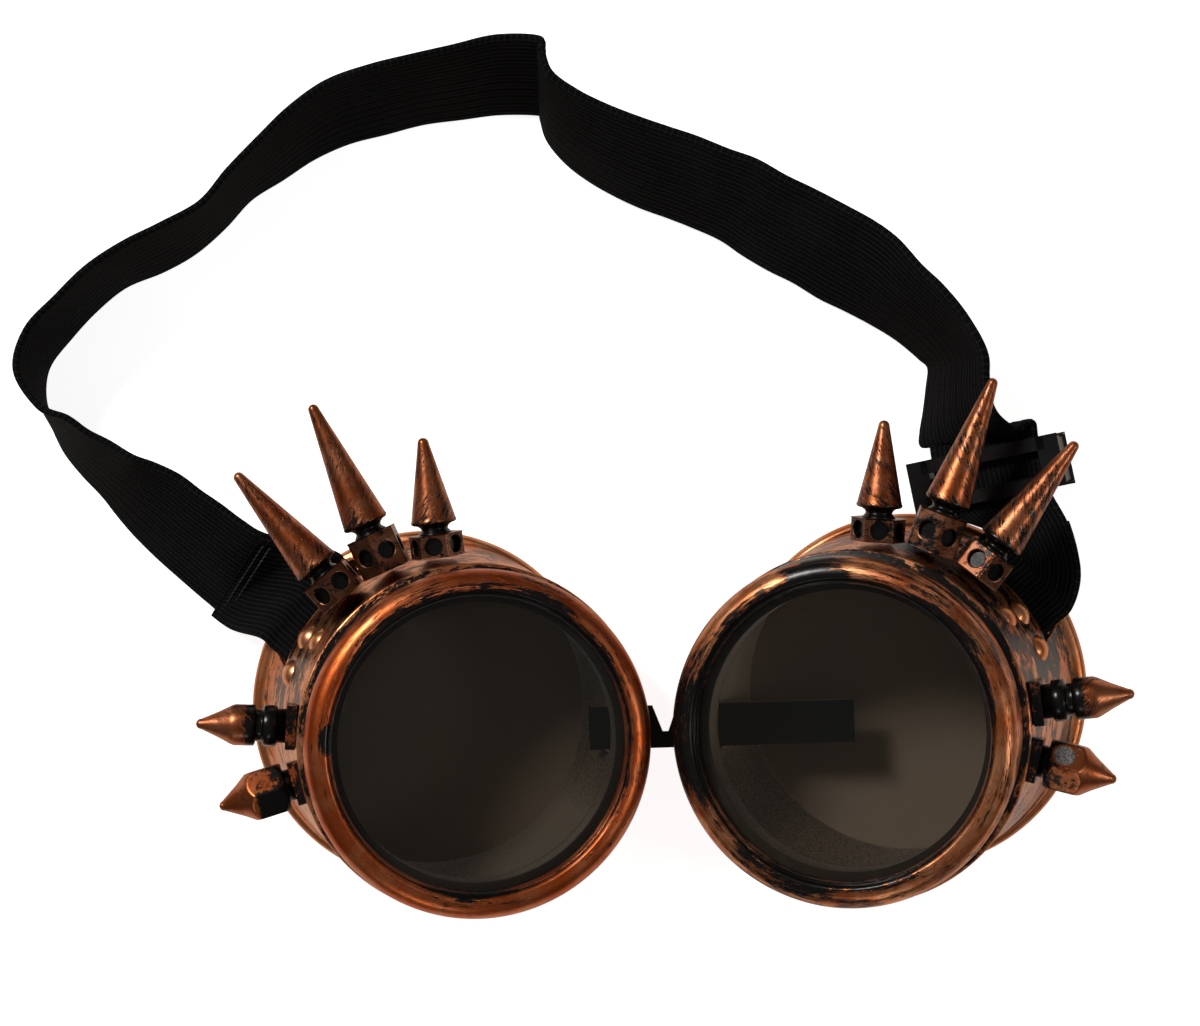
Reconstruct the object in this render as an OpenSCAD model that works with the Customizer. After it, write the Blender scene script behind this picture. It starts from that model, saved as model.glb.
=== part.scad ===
// Spiked round-cup goggles, lying on their rear rims with the lenses up.
// Units are millimetres. +Z is up, +X is to the right and +Y is the brow side with the spikes.
// Each cup is drawn once, as the right one, and mirrored for the left.
// The origin lies on the table, under the middle of the whole outline.

/* [Lens] */
// Diameter of each round lens
lens_d = 50; // [46:0.5:54]
// Thickness of each lens
lens_t = 2; // [1.5:0.1:3]
// Thickness of the flat gasket under each lens
gasket_t = 1; // [0.6:0.1:1.6]

/* [Lens ring] */
// Wall of the ring's skirt, outside the collar that it turns on
skirt_wall = 1.3; // [1:0.1:3]
// Lip of each lens ring over the edge of the lens
view_lip = 1; // [0.7:0.1:3]
// Height of each lens ring along the lens axis
ring_h = 12; // [10.5:0.1:15]
// Thickness of the round front bead of the ring
bead_t = 6.2; // [4:0.1:7]
// Length of the screwed collar that each ring turns on
collar_h = 6.2; // [4:0.1:8]
// Wall of that collar
collar_wall = 2.4; // [1.6:0.1:3]
// Rise of the ring for one turn
thread_pitch = 2; // [1:0.25:3]

/* [Cup] */
// Gap between the two lens rings at the nose
ring_gap = 1; // [0.6:0.1:12]
// Height of the middle of each lens face above the table
face_z = 34; // [32:0.5:42]
// Turn of each lens toward the nose, in degrees
toe_in = 13; // [8:0.5:16]
// Radius of the rear rim
rim_r = 31.6; // [30:0.1:35]
// Height of the rolled rear rim
rim_h = 3; // [2:0.1:3.2]
// Distance from the middle of the nose bridge to the middle of each rear rim
rim_x = 43.6; // [41:0.1:48]
// Offset of the rear rim toward the brow
rim_y = 4.4; // [0:0.1:6]
// Wall of the cup
cup_wall = 2.2; // [1.6:0.1:3]
// Angle of each low round boss above the strap window, from the brow direction, in degrees
dome_angles = [56.3, 57.5, 70.5];
// Height of each of these bosses above the table
dome_heights = [18, 13.6, 13.6];
// Diameter of each of these bosses
dome_d = 4.2; // [3:0.1:4.6]

/* [Brow spikes] */
// Angle of each brow spike from straight up, in degrees
spike_angles = [5.3, 22.3, 38.8];
// Height of each brow spike's seat above the table
spike_heights = [18.6, 20.1, 21.1];
// Length of each cone
spike_lengths = [14.8, 22.6, 21.3];
// Height of each six-sided nut under a spike
nut_heights = [4, 7, 5.2];
// Width of the six-sided nuts across their flats
nut_flats = 8.2; // [7:0.1:8.2]
// Diameter of the holes in the sides of the nuts
nut_hole_d = 3; // [1.5:0.1:3.5]
// Diameter of each cone at its foot
spike_d = 8; // [6:0.1:9]
// Diameter of the rounded spike tips
tip_d = 1.6; // [1:0.1:3]
// Length of the black neck between a nut and its cone
neck_h = 1.8; // [1.2:0.1:3]
// Upward lean of all spikes, in degrees
spike_rise = 5; // [0:0.5:8]

/* [Temple studs] */
// Angle of the ringed stud and of the six-sided stud, in degrees
stud_angles = [85.7, 105.2];
// Height of the seats of both studs above the table
stud_z = 23; // [21:0.1:23.4]
// Upward lean of both studs, in degrees
stud_rise = 12; // [6:1:20]
// Width of the square plates under the studs
plate_w = 7.4; // [6:0.1:7.6]
// Thickness of the square plates
plate_t = 1.7; // [1:0.1:2.5]
// Diameter of the ringed stud
ringed_d = 7; // [5:0.1:7.2]
// Length of the ringed stud above its neck
ringed_h = 13; // [10:0.1:16]
// Width of the six-sided stud over its corners
hex_stud_d = 9.4; // [7:0.1:10]
// Length of the six-sided stud above its neck
hex_h = 11; // [8:0.1:14]
// Diameter of the shanks that hold all spikes and studs
shank_d = 4; // [3:0.1:4.4]

/* [Bridge] */
// Width of the nose-bridge strip
strip_w = 7.4; // [5:0.1:10]
// Thickness of the nose-bridge strip
strip_t = 1.2; // [0.8:0.1:2]
// Height of the strip above the table
strip_z = 9.2; // [8.6:0.1:10.2]
// Reach of the strip into the left cup and into the right cup
strip_ends = [13.4, 33.2];
// Width left of the strip at the notch between the cups
notch_left = 2.8; // [2:0.1:4]

/* [Strap] */
// Width of the elastic head strap
strap_w = 20; // [16:0.5:22]
// Thickness of the elastic head strap
strap_t = 1.4; // [1:0.1:1.8]
// Angle of the strap window in each cup, in degrees
window_angle = 48.5; // [46:0.5:52]
// Height of the bar that the strap loops around
bar_z = 7.2; // [7:0.1:7.6]
// Diameter of that bar
bar_d = 2.6; // [2:0.1:3]
// Free space between the bar and the strap
bar_gap = 0.3; // [0.2:0.05:0.5]

/* [Slider] */
// Width of each of the three bars of the strap slider
slider_bar = 1.6; // [1.2:0.1:1.8]
// Width of the two openings between the bars
slider_slot = 1.8; // [1.4:0.1:2.6]
// Width of the end rails of the slider
slider_rail = 3.3; // [2:0.1:4]
// Thickness of the slider's bars
slider_t = 1.6; // [1.2:0.1:2.2]
// Distance from the rear rim to the middle of the slider
slider_clear = 9.33; // [9:0.01:10]
// Direction of the slider from the middle of the rim, from the brow direction, in degrees
slider_angle = 21.8; // [21:0.1:23]

/* [Hidden] */

// The middle of the whole outline, seen from above
middle = [-17.1, 46.5];
// Clearances: between a screwed ring and its collar, round the lens, between stacked faces, round a shank,
// round a square plate, round the strap in its window, round the bridge strip, between slider and strap
screw_gap = 0.3;
lens_gap = 0.3;
face_gap = 0.1;
shank_gap = 0.05;
plate_gap = 0.15;
window_gap = 0.7;
strip_gap = 0.25;
slider_gap = 0.35;
smooth_fn = 96;

copper = [0.72, 0.40, 0.24];
patina = [0.12, 0.10, 0.09];
smoke = [0.30, 0.28, 0.25, 0.6];
black = [0.06, 0.06, 0.06];

lens_r = lens_d / 2;
view_d = lens_d - 2 * view_lip;
// The ring goes round the collar; its bead stands a little past the skirt
collar_r = lens_r + collar_wall - 0.4;
skirt_r = collar_r + screw_gap + skirt_wall;
ring_d = 2 * (skirt_r + 0.4);
// Distance from the middle of the nose bridge to the middle of each lens face
half_gap = (ring_d + ring_gap) / 2;
// The lens frame: its origin is the shoulder that the ring screws down to, its z axis is the lens axis
seat_x = half_gap + ring_h * sin(toe_in);
seat_z = face_z - ring_h * cos(toe_in);
gasket_z = collar_h + face_gap;
lens_z = gasket_z + gasket_t + face_gap / 2;
lip_z = lens_z + lens_t + face_gap;
shoulder_r = ring_d / 2 + 1;
shoulder_t = 1.4;
wall_top_r = shoulder_r - 0.8;
wall_top_z = seat_z - shoulder_t * cos(toe_in);
wall_top_x = seat_x + shoulder_t * sin(toe_in);
wall_foot_r = rim_r - 1;

// Middle and radius of the cup wall at the height z
function share(z) = (wall_top_z - z) / wall_top_z;
function wall_mid(z) = [wall_top_x + share(z) * (rim_x - wall_top_x), share(z) * rim_y];
function wall_r(z) = wall_top_r + share(z) * (wall_foot_r - wall_top_r);

// All spikes and studs point away from this upright line through the cup
hub = wall_mid(16);
spike_seat = wall_r(16) + 0.8;
stud_seat = wall_mid(stud_z)[0] + wall_r(stud_z) - hub[0] + 2.3;

function unit(v) = v / norm(v);

module on_right() translate([-middle[0], -middle[1], 0]) children();
module on_left() translate([-middle[0], -middle[1], 0]) mirror([1, 0, 0]) children();
module lens_frame() translate([seat_x, 0, seat_z]) rotate([0, -toe_in, 0]) children();
// Frames on the seats of the spikes and studs; z points out of the cup, at an angle from the brow direction
module seat_frame(angle, z, r, rise) {
    translate([hub[0] + r * sin(angle), hub[1] + r * cos(angle), z])
        rotate([0, 0, 90 - angle])
        rotate([0, 90 - rise, 0])
        children();
}
module spike_frame(i) seat_frame(spike_angles[i], spike_heights[i], spike_seat, spike_rise) children();
module stud_frame(i) seat_frame(stud_angles[i], stud_z, stud_seat, stud_rise) children();

// ---- Cup: a leaning shell from the round shoulder to the rear rim ----
module wall_form(inset, over) {
    hull() {
        lens_frame() translate([0, 0, -shoulder_t - 0.2 + over]) cylinder(r = wall_top_r - inset, h = 0.2, $fn = smooth_fn);
        translate([rim_x, rim_y, -over]) cylinder(r = wall_foot_r - inset, h = 0.2 + over, $fn = smooth_fn);
    }
}

module rim_bead() {
    translate([rim_x, rim_y, 0]) rotate_extrude($fn = smooth_fn)
        difference() {
            union() {
                translate([rim_r - rim_h / 2, rim_h / 2]) circle(d = rim_h, $fn = 32);
                translate([rim_r - cup_wall - 1, 0]) square([cup_wall + 1 - rim_h / 2, rim_h]);
                translate([rim_r - rim_h, 0]) square([rim_h * 0.8, rim_h / 2]);
            }
            translate([0, -2]) square([rim_r + 2, 2]);
        }
}

window_hub = wall_mid(bar_z);
bar_r = wall_r(bar_z) - 3;
loop_r = bar_d / 2 + bar_gap + strap_t / 2;
window_w = strap_w + 2 * window_gap;
window_low = rim_h + 0.4;
window_high = bar_z + loop_r + strap_t / 2 + window_gap + 0.3;
module window_frame() translate([window_hub[0], window_hub[1], 0]) rotate([0, 0, 90 - window_angle]) children();

module cup() {
    difference() {
        union() {
            wall_form(0, 0);
            rim_bead();
            lens_frame() translate([0, 0, -shoulder_t]) cylinder(r = shoulder_r, h = shoulder_t, $fn = smooth_fn);
            lens_frame() cylinder(r = collar_r, h = collar_h, $fn = smooth_fn);
            for (i = [0:2]) spike_frame(i) translate([0, 0, -4.4]) cylinder(d = nut_flats * 0.86, h = 4.4, $fn = 40);
            for (i = [0, 1]) stud_frame(i) translate([0, 0, -4.4]) cylinder(d = plate_w * 0.86, h = 4.4, $fn = 40);
            for (i = [0:2]) let (z = dome_heights[i], m = wall_mid(z), r = wall_r(z) - dome_d * 0.14)
                translate([m[0] + r * sin(dome_angles[i]), m[1] + r * cos(dome_angles[i]), z]) sphere(d = dome_d, $fn = 32);
        }
        // Inside of the wall; the bosses end there
        wall_form(cup_wall, 0.5);
        // Sight opening through the collar
        lens_frame() translate([0, 0, -6]) cylinder(r = lens_r - 1.2, h = collar_h + 7, $fn = smooth_fn);
        // Thread roots of the collar
        lens_frame() for (i = [0:2]) translate([0, 0, 1.2 + i * thread_pitch * 0.85]) rotate_extrude($fn = smooth_fn)
            polygon([[collar_r - 0.5, 0.4], [collar_r + 1, -0.4], [collar_r + 1, 1.2]]);
        // Flat pockets for the square plates
        for (i = [0, 1]) stud_frame(i) translate([-plate_w / 2 - plate_gap, -plate_w / 2 - plate_gap, 0])
            cube([plate_w + 2 * plate_gap, plate_w + 2 * plate_gap, 6]);
        // Shank holes of the spikes and studs
        for (i = [0:2]) spike_frame(i)
            translate([0, 0, -9]) cylinder(d = shank_d + 2 * shank_gap, h = 12, $fn = 40);
        for (i = [0, 1]) stud_frame(i)
            translate([0, 0, -9]) cylinder(d = shank_d + 2 * shank_gap, h = 12, $fn = 40);
        // Strap window
        window_frame() translate([bar_r - 6, -window_w / 2, window_low])
            cube([16, window_w, window_high - window_low]);
        // Slot of the bridge strip
        translate([-2, -strip_w / 2 - strip_gap, strip_z - strip_gap])
            cube([rim_x - rim_r + 14, strip_w + 2 * strip_gap, strip_t + 2 * strip_gap]);
    }
    // Bar that the strap loops around
    window_frame() translate([bar_r, 0, bar_z]) rotate([90, 0, 0])
        cylinder(d = bar_d, h = window_w + 2, center = true, $fn = 32);
}
module left_cup() color(copper) on_left() cup();
module right_cup() color(copper) on_right() cup();

// ---- Lens ring: a round bead over a stepped skirt, screwed on the collar ----
module lens_ring() {
    bead_r = bead_t / 2;
    lens_frame() translate([0, 0, face_gap]) rotate_extrude($fn = smooth_fn)
        difference() {
            union() {
                translate([ring_d / 2 - bead_r, ring_h - bead_r]) circle(r = bead_r, $fn = 48);
                translate([lens_r - 2, 0]) square([skirt_r - lens_r + 2, ring_h - bead_r]);
                translate([view_d / 2, lip_z - face_gap]) square([ring_d / 2 - bead_r - view_d / 2, ring_h - lip_z - 0.6]);
            }
            // Bore over the collar, then the lens seat
            translate([0, -1]) square([collar_r + screw_gap, gasket_z + 1]);
            translate([0, gasket_z - 1]) square([lens_r + lens_gap, lip_z - face_gap - gasket_z + 1]);
            translate([0, -1]) square([view_d / 2, ring_h + 2]);
            // Grooves round the skirt
            for (z = [ring_h * 0.12, ring_h * 0.3]) translate([skirt_r + 0.15, z]) circle(d = 1.1, $fn = 24);
            translate([skirt_r + 0.3, ring_h - bead_t - 0.2]) circle(d = 1.5, $fn = 24);
        }
}
module left_lens_ring() color(copper) on_left() lens_ring();
module right_lens_ring() color(copper) on_right() lens_ring();

module lens() lens_frame() translate([0, 0, lens_z]) cylinder(d = lens_d, h = lens_t, $fn = smooth_fn);
module left_lens() color(smoke) on_left() lens();
module right_lens() color(smoke) on_right() lens();

module lens_gasket() {
    lens_frame() translate([0, 0, gasket_z]) difference() {
        cylinder(d = lens_d, h = gasket_t, $fn = smooth_fn);
        translate([0, 0, -1]) cylinder(r = lens_r - 1.6, h = gasket_t + 2, $fn = smooth_fn);
    }
}
module left_lens_gasket() color(black) on_left() lens_gasket();
module right_lens_gasket() color(black) on_right() lens_gasket();

// ---- Brow spikes: a cone, a waisted neck and a shank in one piece, through a six-sided nut ----
module brow_spike(i) {
    foot = nut_heights[i] + neck_h;
    slope = (spike_d - tip_d) / 2 / spike_lengths[i];
    spike_frame(i) {
        translate([0, 0, -5]) cylinder(d = shank_d, h = foot + 6, $fn = 40);
        rotate_extrude($fn = 48) union() {
            // Neck, narrow in the middle
            polygon([[0, nut_heights[i]], [spike_d * 0.36, nut_heights[i]], [spike_d * 0.29, nut_heights[i] + neck_h / 2],
                [spike_d * 0.38, foot], [spike_d / 2 - 0.3, foot], [spike_d / 2, foot + 0.4],
                [tip_d / 2 + slope * tip_d / 2, foot + spike_lengths[i] - tip_d / 2], [0, foot + spike_lengths[i] - tip_d / 2]]);
        }
        translate([0, 0, foot + spike_lengths[i] - tip_d / 2]) sphere(d = tip_d + slope * tip_d, $fn = 24);
    }
}
module left_short_spike() color(copper) on_left() brow_spike(0);
module left_tall_spike() color(copper) on_left() brow_spike(1);
module left_outer_spike() color(copper) on_left() brow_spike(2);
module right_short_spike() color(copper) on_right() brow_spike(0);
module right_tall_spike() color(copper) on_right() brow_spike(1);
module right_outer_spike() color(copper) on_right() brow_spike(2);

// Six-sided nut with a round recess in each side
nut_turns = [30, 0, 0];
module spike_nut(i) {
    spike_frame(i) rotate([0, 0, nut_turns[i]]) difference() {
        cylinder(r = nut_flats / sqrt(3), h = nut_heights[i], $fn = 6);
        translate([0, 0, -1]) cylinder(d = shank_d + 2 * shank_gap, h = nut_heights[i] + 2, $fn = 40);
        for (a = [30:60:330]) rotate([0, 0, a]) translate([nut_flats / 2 - 0.9, 0, nut_heights[i] / 2])
            rotate([0, 90, 0]) cylinder(d = min(nut_hole_d, nut_heights[i] - 1), h = 3, $fn = 24);
    }
}
module left_short_spike_nut() color(copper) on_left() spike_nut(0);
module left_tall_spike_nut() color(copper) on_left() spike_nut(1);
module left_outer_spike_nut() color(copper) on_left() spike_nut(2);
module right_short_spike_nut() color(copper) on_right() spike_nut(0);
module right_tall_spike_nut() color(copper) on_right() spike_nut(1);
module right_outer_spike_nut() color(copper) on_right() spike_nut(2);

// ---- Temple studs ----
stud_neck = 1.5;
module ringed_stud() {
    r = ringed_d / 2;
    z0 = plate_t + stud_neck;
    step = ringed_h * 0.02;
    ring_1 = ringed_h * 0.18;
    ring_2 = ringed_h * 0.28;
    cone = ringed_h * 0.56;
    stud_frame(0) {
        translate([0, 0, -5]) cylinder(d = shank_d, h = z0 + 6, $fn = 40);
        rotate_extrude($fn = 48) polygon([[0, plate_t], [r - 0.6, plate_t], [r - 0.6, z0], [r - step, z0], [r, z0 + step],
            [r, z0 + ring_1 - step], [r - step, z0 + ring_1], [r - 0.8, z0 + ring_1 + step], [r - 0.8, z0 + ring_2 - step],
            [r - step, z0 + ring_2], [r, z0 + ring_2 + step], [r, z0 + cone], [r * 0.62, z0 + cone + (ringed_h - cone) * 0.45],
            [tip_d / 2, z0 + ringed_h], [0, z0 + ringed_h]]);
        translate([0, 0, z0 + ringed_h - 0.2]) sphere(d = tip_d + 0.2, $fn = 24);
    }
}
module left_ringed_stud() color(copper) on_left() ringed_stud();
module right_ringed_stud() color(copper) on_right() ringed_stud();

// Six-sided bar, turned to a cone at its end
module hex_stud() {
    r = hex_stud_d / 2;
    z0 = plate_t + 1.2;
    cone = hex_h * 0.48;
    stud_frame(1) {
        translate([0, 0, -5]) cylinder(d = shank_d, h = plate_t + 6, $fn = 40);
        translate([0, 0, plate_t]) cylinder(d = 5.4, h = 1.4, $fn = 40);
        intersection() {
            translate([0, 0, z0]) cylinder(r = r, h = hex_h, $fn = 6);
            rotate_extrude($fn = 48) polygon([[0, z0], [r * 0.84, z0], [r + 0.05, z0 + hex_h * 0.1], [r + 0.05, z0 + cone],
                [r * 0.6, z0 + cone + (hex_h - cone) * 0.45], [tip_d / 2, z0 + hex_h], [0, z0 + hex_h]]);
        }
        translate([0, 0, z0 + hex_h - 0.2]) sphere(d = tip_d + 0.2, $fn = 24);
    }
}
module left_hex_stud() color(copper) on_left() hex_stud();
module right_hex_stud() color(copper) on_right() hex_stud();

module stud_plate(k) {
    stud_frame(k) difference() {
        translate([-plate_w / 2, -plate_w / 2, 0]) cube([plate_w, plate_w, plate_t]);
        translate([0, 0, -1]) cylinder(d = shank_d + 2 * shank_gap, h = plate_t + 2, $fn = 40);
    }
}
module left_ringed_stud_plate() color(patina) on_left() stud_plate(0);
module left_hex_stud_plate() color(patina) on_left() stud_plate(1);
module right_ringed_stud_plate() color(patina) on_right() stud_plate(0);
module right_hex_stud_plate() color(patina) on_right() stud_plate(1);

// ---- Bridge strip, through a slot in each cup, with a notch between the cups ----
module bridge_strip() color(black) on_right() translate([0, 0, strip_z]) linear_extrude(height = strip_t)
    polygon([[-strip_ends[0], -strip_w / 2], [strip_ends[1], -strip_w / 2], [strip_ends[1], strip_w / 2],
        [2.2, strip_w / 2], [0.5, notch_left - strip_w / 2], [-0.5, notch_left - strip_w / 2],
        [-2.2, strip_w / 2], [-strip_ends[0], strip_w / 2]]);

// ---- Head strap: a flat band through stations, each with a point on its lower and its upper edge ----
// The band lies on its lower edge and leans. The stations run from the sharp fold behind the head.
left_route = [
    [[-19.3, 111.5, 0.6], [-17.7, 121.8, 17.5]], [[-26.8, 112, 0.6], [-25.2, 122.3, 17.5]],
    [[-33.9, 111.5, 0.6], [-32.7, 120.7, 18]], [[-40.9, 110.9, 0.6], [-40.2, 119.2, 18.5]],
    [[-47.9, 109.4, 0.6], [-47.7, 117.7, 18.5]], [[-54.9, 107.9, 0.6], [-55.2, 115.2, 19]],
    [[-61.4, 105.4, 0.6], [-61.7, 110.7, 19.5]], [[-67.4, 101.8, 0.6], [-67.1, 105.6, 20]],
    [[-73.4, 98.3, 0.6], [-72.6, 100.1, 20.5]], [[-78.4, 93.3, 0.6], [-77.6, 94.6, 20.5]],
    [[-83.9, 88.8, 0.6], [-84.6, 91.1, 20.5]], [[-89.9, 85.7, 0.6], [-91.6, 88, 20.5]],
    [[-96.9, 83.2, 0.6], [-98.1, 84, 20.5]], [[-102.4, 79.2, 0.6], [-103.6, 79, 20.5]],
    [[-107.4, 74.2, 0.6], [-109.1, 73.5, 20.5]], [[-111.9, 68.6, 0.6], [-111.1, 66.4, 20.5]],
    [[-112.8, 62.1, 0.6], [-107.1, 59.9, 20]], [[-110.8, 57.1, 0.6], [-102.6, 57.9, 19]],
    [[-108.8, 52.6, 0.6], [-99.1, 55.4, 18.5]], [[-105.8, 48.6, 0.6], [-95.6, 53.4, 17.5]],
    [[-102.3, 44.6, 0.6], [-91.6, 50.9, 17]], [[-99.3, 40.6, 0.6], [-88.2, 49.4, 15]],
    [[-96.2, 36.6, 0.7], [-84.2, 47.4, 13.5]], [[-92.7, 33.1, 0.7], [-80.8, 44.4, 12.5]],
    [[-89.2, 29.7, 0.8], [-77.3, 41.9, 12]], [[-85.2, 26.2, 0.9], [-73.8, 38.9, 11.5]],
    [[-81.6, 23.2, 1.2], [-70.3, 36.4, 10.5]], [[-77.6, 19.7, 2.8], [-64.9, 34.8, 7]]];
right_route = [
    [[-18.8, 110.1, 0.6], [-17.2, 119.6, 17.8]], [[-17.8, 106.5, 0.6], [-15.7, 115.3, 18]],
    [[-14.8, 102.5, 0.6], [-11.2, 111.8, 17.5]], [[-10.8, 99, 0.6], [-6.2, 109.3, 17]],
    [[-6.3, 96, 0.6], [-1.2, 107.3, 16.5]], [[-1.7, 93.5, 0.6], [4.3, 105.3, 16]],
    [[3.3, 91.6, 0.6], [9.3, 103.3, 15.5]], [[7.8, 89.6, 0.6], [14.8, 100.8, 15.5]],
    [[12.8, 87.1, 0.6], [19.8, 98.8, 15]], [[16.8, 84.1, 0.6], [24.8, 95.8, 14.5]],
    [[21.3, 81.1, 0.6], [29.8, 93.3, 14]], [[25.9, 78.6, 0.6], [34.9, 90.3, 14]],
    [[30.4, 75.6, 0.6], [39.9, 87.3, 13.5]], [[34.9, 73.1, 0.6], [43.9, 83.9, 15]],
    [[39.4, 70.6, 0.6], [47.5, 78.9, 17]], [[43.9, 67.6, 0.6], [51.1, 74.9, 18]],
    [[47.9, 64.1, 0.6], [54.6, 69.9, 18.5]], [[49.8, 62.3, 0.6], [57.7, 63.2, 18]],
    [[49.4, 58.6, 0.9], [57.9, 58.7, 18]], [[48.7, 54.1, 1.6], [58.1, 54.7, 17.8]],
    [[47.9, 50.6, 2.4], [59.7, 51.7, 16.8]], [[47.4, 48.2, 3.2], [63.2, 49.8, 14.6]]];
// Band between the slider and the window, on its upper layer
loop_route = [
    [[52.3, 34.6, 6], [71.6, 33.5, 12]], [[54.6, 33.8, 7.6], [73, 27.9, 11.4]],
    [[56.6, 33.4, 8.8], [73.5, 23.2, 10.5]]];
// Frame of the slider: x runs across the band, y along it away from the cup, z out of its upper face
slider_reach = rim_r + slider_clear;
slider_at = [rim_x + slider_reach * sin(slider_angle), rim_y + slider_reach * cos(slider_angle), 8.4];
slider_turn = 9.4;
slider_lean = 25;
slider_travel = 1.5;
slider_length = 3 * slider_bar + 2 * slider_slot;
module slider_frame() translate(slider_at) rotate([0, 0, slider_turn]) rotate([0, -slider_lean, 0]) children();
slider_x = [cos(slider_lean) * cos(slider_turn), cos(slider_lean) * sin(slider_turn), sin(slider_lean)];
slider_y = [-sin(slider_turn), cos(slider_turn), 0];
function slider_station(y) = [for (s = [-1, 1]) slider_at + slider_y * y + slider_x * s * strap_w / 2];

// Both edges of the band where it passes the window of a cup, r out from the cup's middle and z up
function window_station(side, r, z) = let (a = window_angle, w = strap_w / 2,
    m = [window_hub[0] + r * sin(a), window_hub[1] + r * cos(a)], d = [-cos(a), sin(a)])
    [for (e = side > 0 ? [1, -1] : [-1, 1]) [side * (m[0] + e * d[0] * w), m[1] + e * d[1] * w, z]];

// The band round the bar, from one layer to the other; up = 1 starts on the upper layer
function bar_turn(side, up) = [for (k = [0:6]) let (a = up * (90 - k * 30))
    window_station(side, bar_r - loop_r * cos(a), bar_z + loop_r * sin(a))];

// Stations are joined by a smooth curve that passes through each one
function blend(a, b, c, d, t) = 0.5 * (2 * b + (c - a) * t + (2 * a - 5 * b + 4 * c - d) * t * t
    + (3 * b - a - 3 * c + d) * t * t * t);
function at(list, i) = list[max(0, min(len(list) - 1, i))];
function smooth_band(list, steps) = concat([for (i = [0:len(list) - 2]) for (k = [0:steps - 1])
    [for (e = [0, 1]) blend(at(list, i - 1)[e], list[i][e], list[i + 1][e], at(list, i + 2)[e], k / steps)]],
    [list[len(list) - 1]]);
// The band keeps its width at every station, and no edge sinks below the table
function even(s) = let (m = (s[0] + s[1]) / 2, w = unit(s[1] - s[0]) * strap_w / 2,
    low = m[2] - abs(w[2]) - norm([w[0], w[1]]) * strap_t / strap_w, lift = [0, 0, max(0, 0.05 - low)])
    [m - w + lift, m + w + lift];
function middle_of(s) = (s[0] + s[1]) / 2;
function band_normal(b, i) = unit(cross(middle_of(at(b, i + 1)) - middle_of(at(b, i - 1)), b[i][1] - b[i][0]));

// The routes are laid to the bar and the slider at these places, and follow them when a cup changes
laid_bar = [60.101, 20.857];
laid_slider = [58.8, 42.403];
bar_shift = [window_hub[0] + bar_r * sin(window_angle) - laid_bar[0],
    window_hub[1] + bar_r * cos(window_angle) - laid_bar[1], 0];
slider_shift = [slider_at[0] - laid_slider[0], slider_at[1] - laid_slider[1], 0];
function followed(list, shift) = [for (i = [0:len(list) - 1]) let (d = shift * pow(i / (len(list) - 1), 3))
    [list[i][0] + d, list[i][1] + d]];
loop_shift = (bar_shift + slider_shift) / 2;

module band(stations, steps) {
    b = [for (s = smooth_band(stations, steps)) even(s)];
    n = len(b);
    points = [for (i = [0:n - 1]) let (h = band_normal(b, i) * strap_t / 2)
        each [b[i][0] - h, b[i][1] - h, b[i][1] + h, b[i][0] + h]];
    sides = [for (i = [0:n - 2]) for (k = [0:3]) let (p = 4 * i + k, q = 4 * i + (k + 1) % 4)
        each [[p, p + 4, q], [q, p + 4, q + 4]]];
    ends = [[0, 1, 2], [0, 2, 3], [4 * n - 4, 4 * n - 2, 4 * n - 3], [4 * n - 4, 4 * n - 1, 4 * n - 2]];
    polyhedron(points = points, faces = concat(sides, ends), convexity = 8);
}

// The left end passes under the bar, comes back over it and is sewn down on the band
layer_gap = 2.1;
left_main = concat(followed(left_route, [-bar_shift[0], bar_shift[1], 0]), [window_station(-1, 34, bar_z - loop_r + 0.1), window_station(-1, 31, bar_z - loop_r)],
    bar_turn(-1, -1));
sewn_at = len(left_route) - 2;
function lifted(list, i, d) = let (h = band_normal(list, i) * d) [list[i][0] + h, list[i][1] + h];
left_back = [window_station(-1, 31, bar_z + loop_r), window_station(-1, 34, bar_z + loop_r),
    lifted(left_main, sewn_at + 1, layer_gap), lifted(left_main, sewn_at, layer_gap)];
module head_strap_left_run() color(black) on_right() band(concat(left_main, left_back), 3);

// The right end passes the slider, goes over the bar and comes back under it as far as the slider
right_main = concat(followed(right_route, slider_shift), [slider_station(slider_length / 2 + slider_travel + 0.8),
    slider_station(slider_length / 2), slider_station(-slider_length / 2)], [for (s = loop_route) [s[0] + loop_shift, s[1] + loop_shift]],
    [window_station(1, 34, bar_z + loop_r), window_station(1, 31, bar_z + loop_r)]);
loop_at = len(right_route) + 3;
right_back = [window_station(1, 31, bar_z - loop_r), window_station(1, 34, bar_z - loop_r),
    lifted(right_main, loop_at + 2, -layer_gap), lifted(right_main, loop_at + 1, -layer_gap),
    lifted(right_main, loop_at, -layer_gap)];
module head_strap_right_run() color(black) on_right() band(concat(right_main, bar_turn(1, 1), right_back), 3);

// Rows of thread through both layers at the sewn end
module strap_stitching() {
    s = even(left_main[sewn_at]);
    h = band_normal(left_main, sewn_at);
    step = unit(middle_of(left_main[sewn_at + 1]) - middle_of(left_main[sewn_at])) * 1.6;
    color(patina) on_right() for (k = [0:8])
        translate(s[0] + (s[1] - s[0]) * (0.1 + 0.1 * k) + step + h * layer_gap / 2)
        rotate([0, acos(h[2]), atan2(h[1], h[0])])
        cylinder(d = 0.9, h = layer_gap + strap_t + 0.5, center = true, $fn = 16);
}

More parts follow.
